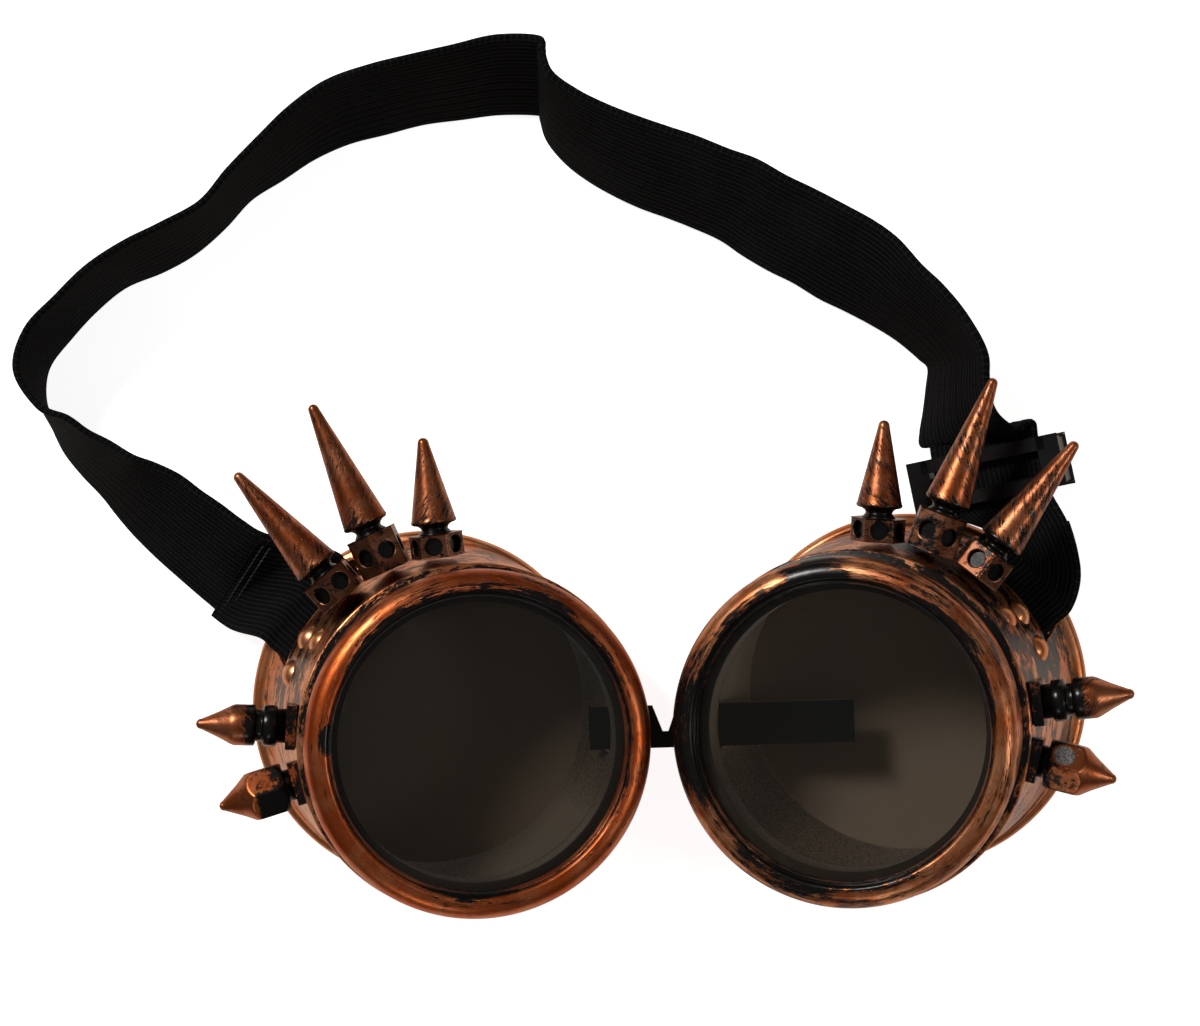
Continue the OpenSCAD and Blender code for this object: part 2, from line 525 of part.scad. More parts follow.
// Slider: two bars over the band, one under it, and a rail at each end
module strap_slider() {
    inner = strap_w / 2 + slider_gap;
    lift = strap_t / 2 + slider_gap;
    pitch = slider_bar + slider_slot;
    color(black) on_right() slider_frame() {
        for (s = [-1, 1]) {
            translate([s > 0 ? inner : -inner - slider_rail, -slider_length / 2, -lift - slider_t])
                cube([slider_rail, slider_length, 2 * (lift + slider_t)]);
            translate([-inner - 0.5, s * pitch - slider_bar / 2, lift]) cube([2 * inner + 1, slider_bar, slider_t]);
        }
        translate([-inner - 0.5, -slider_bar / 2, -lift - slider_t]) cube([2 * inner + 1, slider_bar, slider_t]);
    }
}

left_cup();
right_cup();
left_lens_ring();
right_lens_ring();
left_lens();
right_lens();
left_lens_gasket();
right_lens_gasket();
left_short_spike();
left_tall_spike();
left_outer_spike();
right_short_spike();
right_tall_spike();
right_outer_spike();
left_short_spike_nut();
left_tall_spike_nut();
left_outer_spike_nut();
right_short_spike_nut();
right_tall_spike_nut();
right_outer_spike_nut();
left_ringed_stud();
left_hex_stud();
right_ringed_stud();
right_hex_stud();
left_ringed_stud_plate();
left_hex_stud_plate();
right_ringed_stud_plate();
right_hex_stud_plate();
bridge_strip();
head_strap_left_run();
head_strap_right_run();
strap_stitching();
strap_slider();
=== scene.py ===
# %% [markdown]
# # Spiked round-cup goggles
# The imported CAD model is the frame: its bodies, joints and sizes are taken as they are. This
# notebook dresses it piece by piece, from the rings and cups outwards to the head strap.
# Shapes are worked out in millimetres with the nose bridge in the middle, because such
# numbers are easy to compare with a ruler. They are moved onto the frame, in metres, when
# they become meshes.
# %% Load the frame
import math
import bpy
import mathutils
import numpy as np
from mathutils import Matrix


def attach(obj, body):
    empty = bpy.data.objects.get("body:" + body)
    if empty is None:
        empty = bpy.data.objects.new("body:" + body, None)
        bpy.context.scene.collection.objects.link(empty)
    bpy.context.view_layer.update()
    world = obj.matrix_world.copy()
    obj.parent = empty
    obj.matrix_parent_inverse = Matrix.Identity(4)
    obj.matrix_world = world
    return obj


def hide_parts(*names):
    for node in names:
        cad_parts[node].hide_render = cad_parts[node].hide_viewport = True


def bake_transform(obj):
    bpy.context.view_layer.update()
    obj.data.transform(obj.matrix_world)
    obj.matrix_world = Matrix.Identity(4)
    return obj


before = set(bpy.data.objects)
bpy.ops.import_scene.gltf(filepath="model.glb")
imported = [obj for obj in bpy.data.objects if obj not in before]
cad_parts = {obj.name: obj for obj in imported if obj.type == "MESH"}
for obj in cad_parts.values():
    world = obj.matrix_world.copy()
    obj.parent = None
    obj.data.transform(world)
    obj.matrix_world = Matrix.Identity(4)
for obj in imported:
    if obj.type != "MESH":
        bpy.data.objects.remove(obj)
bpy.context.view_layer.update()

# %% [markdown]
# ## Shared sizes
# These repeat the sizes that the CAD uses, so that every dressed piece sits on its solid.
# They could be measured on the frame's meshes, but a turned profile needs exact radii and
# heights, so named values are simpler. Each cup is described once, as the right one; the left
# one is its mirror image.
# %% Sizes of the goggles, in millimetres and degrees
SIDES = ((-1, "left"), (1, "right"))
MIDDLE = np.array([-17.1, 46.5, 0.0])  # the frame's origin, seen from the nose bridge
HALF_GAP = 29.5  # from the nose bridge to the middle of a ring's face
FACE_Z = 34.0  # from the table to the middle of a ring's face
TOE_IN = math.radians(13)  # lean of the lenses toward the nose
RING_D = 58.0
RING_H = 12.0
BEAD_R = 3.1  # round bead on the ring's face
RIM_CENTRE = np.array([43.6, 4.4, 0.0])  # middle of the cup's flat rear rim
RIM_R = 31.6
SHOULDER_T = 1.4
COLLAR_R = 27.0  # the ring turns on this collar
SPIKE_KINDS = ("short", "tall", "outer")
SPIKE_ANGLES = (5.3, 22.3, 38.8)  # from the brow toward the temple
SPIKE_HEIGHTS = (18.6, 20.1, 21.1)  # above the table
SPIKE_LENGTHS = (14.8, 22.6, 21.3)  # of the cones alone
SPIKE_RISE = 5
SPIKE_D = 8.0
TIP_D = 1.6
NECK_H = 1.8
NUT_HEIGHTS = (4.0, 7.0, 5.2)
NUT_TURNS = (30, 0, 0)
NUT_FLATS = 8.2  # across two opposite sides
STUD_ANGLES = (85.7, 105.2)  # ringed stud and six-sided stud
STUD_Z = 23.0
STUD_RISE = 12
PLATE_T = 1.7  # square plate under a stud
STRAP_W = 20.0
STRAP_T = 1.4
WINDOW_ANGLE = 48.5  # strap window, from the brow toward the temple
BAR_Z = 7.2  # bar in the window that holds the strap
BAR_D = 2.6
LENS_SEAT = np.array([HALF_GAP + RING_H * math.sin(TOE_IN), 0.0, FACE_Z - RING_H * math.cos(TOE_IN)])
WALL_TOP = LENS_SEAT + SHOULDER_T * np.array([math.sin(TOE_IN), 0.0, -math.cos(TOE_IN)])
WALL_TOP_R = RING_D / 2 + 0.2
WALL_FOOT_R = RIM_R - 1


def wall_middle(z):
    """Middle of the cup wall at height z: a straight run from under the shoulder to the rear rim."""
    share = (WALL_TOP[2] - z) / WALL_TOP[2]
    return WALL_TOP[:2] + share * (RIM_CENTRE[:2] - WALL_TOP[:2])


def wall_radius(z):
    """Radius of the cup wall at height z."""
    return WALL_TOP_R + (WALL_TOP[2] - z) / WALL_TOP[2] * (WALL_FOOT_R - WALL_TOP_R)


SEAT_Z = 16  # the seats stand round the wall's middle at this height
HUB = wall_middle(SEAT_Z)
SPIKE_SEAT = wall_radius(SEAT_Z) + 0.8
STUD_SEAT = wall_middle(STUD_Z)[0] + wall_radius(STUD_Z) - HUB[0] + 2.3
print("spike seat radius", round(SPIKE_SEAT, 2), "stud seat radius", round(STUD_SEAT, 2))

# %% [markdown]
# ## From arrays to meshes
# Modifiers could bend and turn ready-made shapes, but rings, cups and strap follow formulas,
# so every new piece is a grid of points from numpy. A grid may close on itself in one or both
# directions, and its open ends may be capped. The sign of the enclosed volume shows whether
# the faces point outwards; if not, they are turned over.
# %% Grid meshes
def grid_quads(nu, nv, closed_u, closed_v):
    """Corners (i, j), (i+1, j), (i+1, j+1), (i, j+1) of each quad; the caller wraps them where it closes."""
    rows = np.arange(nu if closed_u else nu - 1)
    columns = np.arange(nv if closed_v else nv - 1)
    i, j = (steps.ravel() for steps in np.meshgrid(rows, columns, indexing="ij"))
    return np.stack([i, i + 1, i + 1, i], -1), np.stack([j, j, j + 1, j + 1], -1)


def enclosed_volume(points, quads):
    """Sum of the signed volumes of the tetrahedra from the origin to the two halves of each quad."""
    a, b, c, d = (points[quads[:, k]] for k in range(4))
    halves = np.einsum("ij,ij->i", a, np.cross(b, c)) + np.einsum("ij,ij->i", a, np.cross(c, d))
    return float(np.sum(halves) / 6)


def grid_piece(name, grids, material, soot_and_painted_light=None, smooth=True):
    """One object from grids in millimetres, each (points, closed_u, closed_v, capped, u, v).

    u and v are the values of the map "surface" along the two directions. The soot arrays, one
    for each grid, say how dark the surface is by nature, with painted shade and painted light on some pieces.
    """
    points, faces, maps, dark = [], [], [], []
    base = 0
    for k, (grid, closed_u, closed_v, capped, u, v) in enumerate(grids):
        nu, nv = grid.shape[:2]
        flat = grid.reshape(-1, 3)
        step_i, step_j = grid_quads(nu, nv, closed_u, closed_v)
        quads = (step_i % nu) * nv + step_j % nv
        corner_uv = np.stack([u[step_i], v[step_j]], -1)
        turn = enclosed_volume(flat - flat.mean(0), quads) < 0
        if turn:
            quads, corner_uv = quads[:, ::-1], corner_uv[:, ::-1]
        faces += (quads + base).tolist()
        maps.append(corner_uv.reshape(-1, 2))
        points.append(flat)
        dark.append(np.zeros(len(flat)) if soot_and_painted_light is None else np.broadcast_to(soot_and_painted_light[k], (nu, nv)).ravel())
        if capped:
            for end, row in ((0, np.arange(nv)), (1, (nu - 1) * nv + np.arange(nv))):
                ring = row if (end == 1) != turn else row[::-1]
                faces.append((ring + base).tolist())
                maps.append(np.tile([u[-end], v[0]], (nv, 1)))
        base += len(flat)
    mesh = bpy.data.meshes.new(name)
    placed = (np.concatenate(points) - MIDDLE) * 0.001
    mesh.from_pydata(placed.tolist(), [], faces)
    layer = mesh.uv_layers.new(name="surface")
    layer.data.foreach_set("uv", np.concatenate(maps).astype(np.float32).ravel())
    values = mesh.attributes.new("soot_and_painted_light", "FLOAT", "POINT")
    values.data.foreach_set("value", np.concatenate(dark).astype(np.float32))
    mesh.polygons.foreach_set("use_smooth", np.full(len(mesh.polygons), smooth))
    mesh.materials.append(material)
    piece = bpy.data.objects.new(name, mesh)
    bpy.context.scene.collection.objects.link(piece)
    mesh.validate()
    print(f"{name}: {len(mesh.vertices)} points, {len(mesh.polygons)} faces")
    return piece


# %% Turned shapes, prisms and seats
def turned(profile, count):
    """Profile points (r, z) carried once round the z axis: (r cos a, r sin a, z).

    Returns the grid, the angles and the lengths along the closed profile.
    """
    profile = np.asarray(profile, float)
    angle = np.linspace(0, 2 * math.pi, count + 1)
    around = np.stack([np.cos(angle[:-1]), np.sin(angle[:-1])], -1)
    heights = np.broadcast_to(profile[None, :, 1:], (count, len(profile), 1))
    grid = np.concatenate([around[:, None, :] * profile[None, :, :1], heights], -1)
    length = np.concatenate([[0], np.cumsum(np.linalg.norm(np.diff(profile, axis=0), axis=1))])
    closing = np.linalg.norm(profile[0] - profile[-1])
    return grid, angle, np.append(length, length[-1] + closing)


def prism(grid):
    """A grid of two outlines as a capped solid, with plain counts as its map."""
    return grid, False, True, True, np.arange(2.0), np.arange(grid.shape[1] + 1.0)


def moved(grid, axes, origin):
    """Local points to goggles points: origin + x * first axis + y * second axis + z * third axis."""
    return grid @ np.asarray(axes) + np.asarray(origin)


def mirrored(grid, side):
    """The same points on the cup of that side: +1 right, -1 left."""
    return grid * np.array([side, 1, 1])


def seat_axes(angle, rise):
    """Axes of a seat: z out of the cup, x downwards, y along the wall."""
    a, r = math.radians(angle), math.radians(rise)
    out = np.array([math.cos(r) * math.sin(a), math.cos(r) * math.cos(a), math.sin(r)])
    down = np.array([math.sin(r) * math.sin(a), math.sin(r) * math.cos(a), -math.cos(r)])
    return np.array([down, np.cross(out, down), out])


def seat_origin(angle, z, radius):
    """Point on the cup at an angle from the brow direction, at a height and a radius from the hub line."""
    a = math.radians(angle)
    return np.array([HUB[0] + radius * math.sin(a), HUB[1] + radius * math.cos(a), z])


def arc(centre, radius, first, last, count):
    """Points (r, z) on an arc, angles in degrees."""
    a = np.radians(np.linspace(first, last, count))
    return [(centre[0] + radius * math.cos(t), centre[1] + radius * math.sin(t)) for t in a]


LENS_AXES = np.array([[math.cos(TOE_IN), 0, math.sin(TOE_IN)], [0, 1, 0],
    [-math.sin(TOE_IN), 0, math.cos(TOE_IN)]])
print("the right lens looks along", LENS_AXES[2].round(3))

# %% [markdown]
# ## Finish of the plated parts
# The real parts are plated in bright copper. Black lacquer was brushed over it and rubbed off
# again, so it stays in grooves and in torn streaks, with brush marks along the ring. A painted
# picture could hold such marks, but it blurs close up. Noise at several scales stays sharp, so
# one node group makes the pattern for all plated pieces. The soot attribute of each mesh says where
# a surface is dark by nature; it also holds painted shade on the inner lips of the rings and on
# the cup walls, and a painted pool of light inside the cups.
# %% Node helpers
def maths(tree, operation, a, b=None, clamp=False):
    """A Math node; a and b are numbers or sockets."""
    node = tree.nodes.new("ShaderNodeMath")
    node.operation = operation
    node.use_clamp = clamp
    for k, value in enumerate((a, b)):
        if isinstance(value, (int, float)):
            node.inputs[k].default_value = value
        elif value is not None:
            tree.links.new(value, node.inputs[k])
    return node.outputs[0]


def plus(tree, a, b):
    """a + b"""
    return maths(tree, "ADD", a, b)


def less(tree, a, b, clamp=False):
    """a - b"""
    return maths(tree, "SUBTRACT", a, b, clamp)


def times(tree, a, b):
    """a * b"""
    return maths(tree, "MULTIPLY", a, b)


def noise(tree, vector, scale, detail=4.0, rough=0.55, distortion=0.0):
    """Value of a Noise Texture at that scale."""
    node = tree.nodes.new("ShaderNodeTexNoise")
    settings = {"Scale": scale, "Detail": detail, "Roughness": rough, "Distortion": distortion}
    for label, value in settings.items():
        node.inputs[label].default_value = value
    tree.links.new(vector, node.inputs["Vector"])
    return node.outputs["Fac"]


def band(tree, value, low, high):
    """0 below low, 1 above high, smooth between."""
    node = tree.nodes.new("ShaderNodeMapRange")
    node.interpolation_type = "SMOOTHSTEP"
    tree.links.new(value, node.inputs["Value"])
    node.inputs["From Min"].default_value = low
    node.inputs["From Max"].default_value = high
    return node.outputs["Result"]


def mix_colour(tree, share, first, second):
    """A colour mix; first and second are colours or sockets."""
    node = tree.nodes.new("ShaderNodeMix")
    node.data_type = "RGBA"
    tree.links.new(share, node.inputs["Factor"])
    for key, value in (("A", first), ("B", second)):
        socket = [s for s in node.inputs if s.name == key and s.type == "RGBA"][0]
        if isinstance(value, tuple):
            socket.default_value = (*value, 1)
        else:
            tree.links.new(value, socket)
    return [s for s in node.outputs if s.type == "RGBA"][0]


def new_group(name, inputs, outputs):
    """An empty shader node group with named sockets, and its two end nodes."""
    group = bpy.data.node_groups.new(name, "ShaderNodeTree")
    for label, kind, value in inputs:
        socket = group.interface.new_socket(name=label, in_out="INPUT", socket_type=kind)
        if value is not None:
            socket.default_value = value
    for label, kind in outputs:
        group.interface.new_socket(name=label, in_out="OUTPUT", socket_type=kind)
    return group, group.nodes.new("NodeGroupInput"), group.nodes.new("NodeGroupOutput")


# %% The plating group
def plating_group():
    """Rubbed lacquer over copper: black where streaks + patches + tears + soot (with its painted shade)
    passes a limit.
    """
    colour, number, arrow = "NodeSocketColor", "NodeSocketFloat", "NodeSocketVector"
    # The Soot input also brings painted shade and painted light on some pieces
    group, given, out = new_group("RubbedPlating",
        [("Vector", arrow, None), ("Fine Vector", arrow, None), ("Soot", number, 0.0), ("Black", number, 0.5),
            ("Copper", colour, (0.72, 0.30, 0.13, 1)), ("Pale Copper", colour, (0.80, 0.46, 0.30, 1)),
            ("Lacquer", colour, (0.004, 0.0035, 0.003, 1))],
        [("Color", colour), ("Roughness", number), ("Metallic", number), ("Height", number)])
    along, fine = given.outputs["Vector"], given.outputs["Fine Vector"]

    # Long brushed streaks and wide patches, torn at their edges by fine noise
    streaks = noise(group, along, 1.0, 5.0, 0.60, 0.5)
    patches = noise(group, fine, 0.13, 3.0, 0.55, 0.6)
    tears = noise(group, along, 3.9, 6.0, 0.85, 0.4)
    level = plus(group, times(group, streaks, 0.66), times(group, patches, 0.34))
    level = plus(group, level, times(group, less(group, tears, 0.5), 0.62))
    level = plus(group, level, times(group, given.outputs["Soot"], 0.24))
    level = plus(group, level, times(group, less(group, given.outputs["Black"], 0.5), 0.4))
    lacquer = band(group, level, 0.576, 0.590)

    # Hairlines beside the patches, and stray specks
    hair = band(group, noise(group, along, 2.7, 5.0, 0.75, 0.3), 0.575, 0.60)
    hair = times(group, hair, band(group, level, 0.40, 0.47))
    specks = band(group, noise(group, fine, 2.2, 2.0, 0.5, 0.0), 0.69, 0.73)
    marks = maths(group, "MAXIMUM", hair, times(group, specks, 0.8))
    mask = maths(group, "MAXIMUM", lacquer, marks, True)

    # Thin lines rubbed back to copper, except where the lacquer is thick
    rubbed = band(group, noise(group, along, 5.0, 4.0, 0.7, 0.3), 0.60, 0.68)
    rubbed = times(group, rubbed, less(group, 1.0, band(group, level, 0.66, 0.78)))
    mask = less(group, mask, times(group, rubbed, 0.7), True)

    # Copper in two tones, with grime close to the lacquer
    tint = band(group, noise(group, fine, 0.16, 4.0, 0.65, 0.4), 0.36, 0.66)
    metal = mix_colour(group, tint, given.outputs["Copper"], given.outputs["Pale Copper"])
    grime = times(group, band(group, level, 0.47, 0.58), 0.55)
    metal = mix_colour(group, grime, metal, (0.13, 0.030, 0.010))
    group.links.new(mix_colour(group, mask, metal, given.outputs["Lacquer"]), out.inputs["Color"])

    # Lacquer is smoother than copper, isn't a metal and stands a little proud
    grain = noise(group, along, 14.0, 3.0, 0.6)
    rough = plus(group, 0.25, times(group, grain, 0.18))
    group.links.new(less(group, rough, times(group, mask, 0.10)), out.inputs["Roughness"])
    group.links.new(less(group, 0.95, times(group, mask, 0.95), True), out.inputs["Metallic"])
    dents = times(group, noise(group, fine, 0.7, 3.0, 0.5), 0.8)
    height = plus(group, times(group, mask, 0.35), plus(group, dents, times(group, grain, 0.12)))
    group.links.new(height, out.inputs["Height"])
    return group


PLATING = plating_group()
print("plating group nodes:", len(PLATING.nodes))

# %% [markdown]
# A round piece is mapped by its angle and the length along its profile. Plain angles would
# leave a seam where the full turn meets zero, so the streak pattern reads the cosine and sine
# of the angle instead. A small factor on them stretches the streaks along the ring.
# %% Vectors for the patterns
def ready_material(name):
    """An empty node material with its Principled BSDF."""
    material = bpy.data.materials.new(name)
    material.use_nodes = True
    tree = material.node_tree
    return material, tree, tree.nodes["Principled BSDF"]


def surface_map(tree):
    """The two values of a piece's own map, and the map itself."""
    surface = tree.nodes.new("ShaderNodeUVMap")
    surface.uv_map = "surface"
    parts = tree.nodes.new("ShaderNodeSeparateXYZ")
    tree.links.new(surface.outputs["UV"], parts.inputs[0])
    return parts.outputs["X"], parts.outputs["Y"], surface.outputs["UV"]


def round_vector(tree, along, across, slant):
    """(cos a * along, sin a * along, v * across) with a = u + slant * v; u an angle, v in millimetres."""
    u, v, surface = surface_map(tree)
    angle = plus(tree, u, times(tree, v, slant))
    joined = tree.nodes.new("ShaderNodeCombineXYZ")
    tree.links.new(times(tree, maths(tree, "COSINE", angle), along), joined.inputs["X"])
    tree.links.new(times(tree, maths(tree, "SINE", angle), along), joined.inputs["Y"])
    tree.links.new(times(tree, v, across), joined.inputs["Z"])
    return joined.outputs[0]


def millimetres(tree, turn=(0, 0, 0), scale=(1000, 1000, 1000), shift=(0, 0, 0)):
    """Object coordinates in millimetres, stretched and turned as asked."""
    place = tree.nodes.new("ShaderNodeTexCoord")
    mapping = tree.nodes.new("ShaderNodeMapping")
    mapping.inputs["Rotation"].default_value = [math.radians(t) for t in turn]
    mapping.inputs["Scale"].default_value = scale
    mapping.inputs["Location"].default_value = shift
    tree.links.new(place.outputs["Object"], mapping.inputs["Vector"])
    return mapping.outputs["Vector"]


def add_relief(tree, skin, height, strength, depth):
    """Fine relief from a height, depth in millimetres."""
    relief = tree.nodes.new("ShaderNodeBump")
    relief.inputs["Strength"].default_value = strength
    relief.inputs["Distance"].default_value = depth * 0.001
    tree.links.new(height, relief.inputs["Height"])
    tree.links.new(relief.outputs["Normal"], skin.inputs["Normal"])


# %% The material of the plated parts
def plated(name, black, streak, copper=(0.46, 0.085, 0.018), pale=(0.56, 0.165, 0.062), shift=0.0,
        bump=0.05, bare_colour=(0.40, 0.29, 0.19), painted_light_inside=False):
    """Rubbed plating; where the soot falls below -3 the surface is bare grit, and where asked, below -5.5 the
    bare inside of a cup gets a painted pool of light.

    streak is ("round", along, across, slant) for turned pieces or ("plain", scale, turn).
    """
    material, tree, skin = ready_material(name)
    if streak[0] == "round":
        shifted = tree.nodes.new("ShaderNodeVectorMath")
        tree.links.new(round_vector(tree, *streak[1:]), shifted.inputs[0])
        shifted.inputs[1].default_value = (shift, shift * 0.7, -shift)
        vector = shifted.outputs[0]
    else:
        vector = millimetres(tree, streak[2], streak[1], (shift, 0, 0))
    finish = tree.nodes.new("ShaderNodeGroup")
    finish.node_tree = PLATING
    tree.links.new(vector, finish.inputs["Vector"])
    tree.links.new(millimetres(tree, shift=(shift * 3, shift, 0)), finish.inputs["Fine Vector"])
    finish.inputs["Black"].default_value = black
    finish.inputs["Copper"].default_value = (*copper, 1)
    finish.inputs["Pale Copper"].default_value = (*pale, 1)
    soot_and_painted_light = tree.nodes.new("ShaderNodeAttribute")
    soot_and_painted_light.attribute_name = "soot_and_painted_light"
    tree.links.new(soot_and_painted_light.outputs["Fac"], finish.inputs["Soot"])
    clean_and_painted_light = times(tree, soot_and_painted_light.outputs["Fac"], -1.0)
    bare = band(tree, clean_and_painted_light, 3.0, 4.0)
    grit_and_painted_light = band(tree, noise(tree, millimetres(tree), 3.2, 3.0, 0.7), 0.42, 0.60)
    grit_and_painted_light = mix_colour(tree, grit_and_painted_light, tuple(0.25 * c for c in bare_colour), bare_colour)
    # Painted light: far below -5.5 the bare inside of a cup turns pale, a painted pool of light
    if painted_light_inside:
        grit_and_painted_light = mix_colour(tree, band(tree, clean_and_painted_light, 5.5, 8.5), grit_and_painted_light, (0.86, 0.70, 0.52))
    tree.links.new(mix_colour(tree, bare, finish.outputs["Color"], grit_and_painted_light), skin.inputs["Base Color"])
    rough = plus(tree, finish.outputs["Roughness"], times(tree, bare, 0.25))
    tree.links.new(rough, skin.inputs["Roughness"])
    metal = times(tree, finish.outputs["Metallic"], less(tree, 1.0, bare))
    tree.links.new(metal, skin.inputs["Metallic"])
    skin.inputs["Specular IOR Level"].default_value = 0.28
    add_relief(tree, skin, finish.outputs["Height"], 0.6, bump)
    return material


RING_FINISH = {
    -1: plated("left_ring_plating", 0.34, ("round", 2.8, 1.0, 0.012), shift=3.1),
    1: plated("right_ring_plating", 0.50, ("round", 2.8, 1.15, -0.035), (0.50, 0.125, 0.036),
        (0.70, 0.30, 0.14), 11.7)}
CUP_FINISH, SPIKE_FINISH, NUT_FINISH = {}, {}, {}
for side, word in SIDES:
    right = side > 0
    # The cups' plating also paints a pool of light on their bare inside
    CUP_FINISH[side] = plated(f"{word}_cup_plating", 0.52 if right else 0.36, ("round", 5.0, 0.5, 0.03),
        (0.66, 0.21, 0.075), (0.74, 0.34, 0.17), 21.9 if right else 5.3, painted_light_inside=True)
    SPIKE_FINISH[side] = plated(f"{word}_spike_plating", 0.60 if right else 0.52,
        ("round", 3.0, 0.34, 0.26), (0.34, 0.085, 0.026), (0.46, 0.17, 0.08), 15.1 if right else 8.2)
    NUT_FINISH[side] = plated(f"{word}_nut_plating", 0.58 if right else 0.55,
        ("plain", (230, 420, 230), (20, 30, 40)), (0.17, 0.060, 0.028), (0.26, 0.12, 0.07),
        9.4 if right else 2.2, bump=0.04)
STUD_FINISH = plated("stud_plating", 0.40, ("plain", (420, 420, 420), (10, 50, 0)), (0.36, 0.085, 0.024),
    (0.46, 0.16, 0.07), 4.4, bare_colour=(0.26, 0.25, 0.24))
PLATE_FINISH = plated("stud_plate_plating", 0.85, ("plain", (600, 600, 600), (10, 20, 0)), bump=0.04)
print("plated materials:", len(bpy.data.materials))

# %% [markdown]
# ## Lens rings
# Each ring unscrews to change the lens. A fat round bead runs round its face, small steps
# lead down to the lens, and ridges on the skirt give grip. Rings could be stacked from torus
# shapes, but the real one is turned in one piece, so its whole profile is carried round the
# lens axis. Lacquer sits in the grooves and on the stretches that are black on the real ring.
# %% Lens rings
LIP_Z = 9.4  # the lens lies under the lip


def ring_profile():
    """(r, z, soot) points round the section of a lens ring, z from the shoulder of the cup."""
    skirt = RING_D / 2 - 0.4
    centre = (RING_D / 2 - BEAD_R, RING_H - BEAD_R)
    points = [(COLLAR_R + 0.3, 0.1, 0.6), (skirt - 0.3, 0.1, 0.6), (skirt, 0.4, 0.3)]
    for low in (1.0, 2.6, 4.2):
        points += [(skirt, low, -0.2), (skirt - 0.15, low + 0.25, 0.6), (skirt - 0.55, low + 0.45, 1.0),
            (skirt - 0.55, low + 0.85, 1.0), (skirt - 0.15, low + 1.05, 0.6), (skirt, low + 1.3, -0.2)]
    points += [(skirt, 5.7, 0.4), (skirt - 0.1, 5.9, 1.2), (skirt - 0.9, 6.2, 2.4)]
    bead_soot = np.concatenate([np.linspace(2.4, 0, 9), np.zeros(23)])
    points += [(r, z, s) for (r, z), s in zip(arc(centre, BEAD_R, -52, 100, 32), bead_soot)]
    points += [(25.3, 11.88, 0.1), (25.15, 11.76, 0.2), (25.0, 11.58, 0.5), (24.95, 11.36, 0.9),
        (24.85, 11.34, 0.9), (24.82, 11.4, 0.4), (24.72, 11.25, 0.0), (24.6, 11.05, 0.0),
        (24.55, 10.85, -0.2), (24.5, 10.3, -0.3), (24.6, 10.1, -0.1), (24.6, 9.85, -0.1),
        (24.45, 9.7, -0.3), (24.45, 9.45, 0.2),
        (25.3, LIP_Z, 0.5), (25.3, 6.35, 0.5), (27.3, 6.3, 0.5)]
    return np.array(points)


def bumps(angle, spots):
    """Sum of flat-topped hills over the angle; spots are (middle, half width, height) in degrees."""
    total = np.zeros_like(angle)
    for middle, width, height in spots:
        away = np.abs((np.degrees(angle) - middle + 180) % 360 - 180)
        total += height * np.clip(1.5 * (1 - away / width), 0, 1)
    return total


# Angles run from the temple towards the brow and on to the nose, in the frame of each lens
RING_PATCHES = {-1: [(90, 70, 0.3)], 1: [(180, 32, 0.75), (99, 16, 0.95), (40, 40, 0.35), (250, 40, 0.3)]}
INNER_SHADE = {-1: [(80, 110, 1.0), (4.5, 6, 2.0), (275, 26, 0.9)],
    1: [(125, 60, 0.9), (200, 30, 0.3), (30, 40, 0.5), (262, 40, 0.5)]}
COUNT = 288  # steps round a ring or a cup
for side, word in SIDES:
    profile = ring_profile()
    grid, u, v = turned(profile[:, :2], COUNT)
    inwards = np.clip((27.0 - profile[:, 0]) / 2.2, 0, 1) * (profile[:, 1] > LIP_Z)
    upper = profile[None, :, 1] > 5.5
    soot_and_painted_light = (profile[None, :, 2] + bumps(u[:-1], RING_PATCHES[side])[:, None] * upper
        + bumps(u[:-1], INNER_SHADE[side])[:, None] * inwards[None, :])
    grid = mirrored(moved(grid, LENS_AXES, LENS_SEAT), side)
    ring = grid_piece(f"{word}_ring_detail", [(grid, True, True, False, u, v)], RING_FINISH[side], [soot_and_painted_light])
    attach(ring, f"{word}_ring")
    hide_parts(f"{word}_lens_ring")

# %% [markdown]
# ## Eyecups
# A cup is one moulding: rolled rear rim, leaning wall, shoulder and the collar on which the
# ring turns. Its rim lies flat and its shoulder leans toward the nose, so it can't be turned
# round one axis. Instead each profile point is mixed from a circle in the rim's plane and a
# circle in the lens's plane. The strap window and the slot for the bridge strip are cut out
# afterwards, as sharp openings are hard to leave in a grid.
# %% Eyecup shells
WALL_T = 2.2
BARE = -5  # soot of the unplated inside


def cup_profile():
    """(rim r, rim z, lens r, lens z, share of the lens circle, soot) points round the wall's section."""
    points = [(RIM_R - 3.0, 0.0, 0, 0, 0.0, 0.2)]
    points += [(r, max(z, 0), 0, 0, 0.0, -0.5) for r, z in arc((RIM_R - 1.5, 1.5), 1.5, -70, 84, 14)]
    outer = np.concatenate([np.linspace(0.155, 0.9, 26), [0.93, 0.955, 0.975, 0.99]])
    points += [(WALL_FOOT_R, 0, WALL_TOP_R, -SHOULDER_T, t, 0.55 if t < 0.18 else (0.5 if t > 0.94 else 0.0))
        for t in outer]
    shoulder = [(29.5, -1.4, 0.6), (29.85, -1.3, 0.3), (30, -1.1, -0.1), (30, -0.35, -0.3),
        (29.85, -0.1, -0.1), (29.6, 0, 0.3), (27.2, 0, 0.9), (27, 0.15, 0.9)]
    grooves = [(r, z, 0.7) for low in (1.0, 2.7, 4.4)
        for r, z in ((27, low), (26.5, low + 0.5), (26.5, low + 0.8), (27, low + 1.3))]
    collar = [(27, 6.0, 0.7), (26.8, 6.2, 0.7), (24.0, 6.2, BARE), (23.8, 6.0, BARE), (23.8, 0.0, BARE),
        (23.8, -1.5, BARE), (26.2, -1.7, BARE)]
    points += [(0, 0, r, z, 1.0, s) for r, z, s in shoulder + grooves + collar]
    points += [(WALL_FOOT_R - WALL_T, 0, WALL_TOP_R - WALL_T, -SHOULDER_T - 0.2, t, BARE)
        for t in np.linspace(0.99, 0.01, 24)]
    return np.array(points)


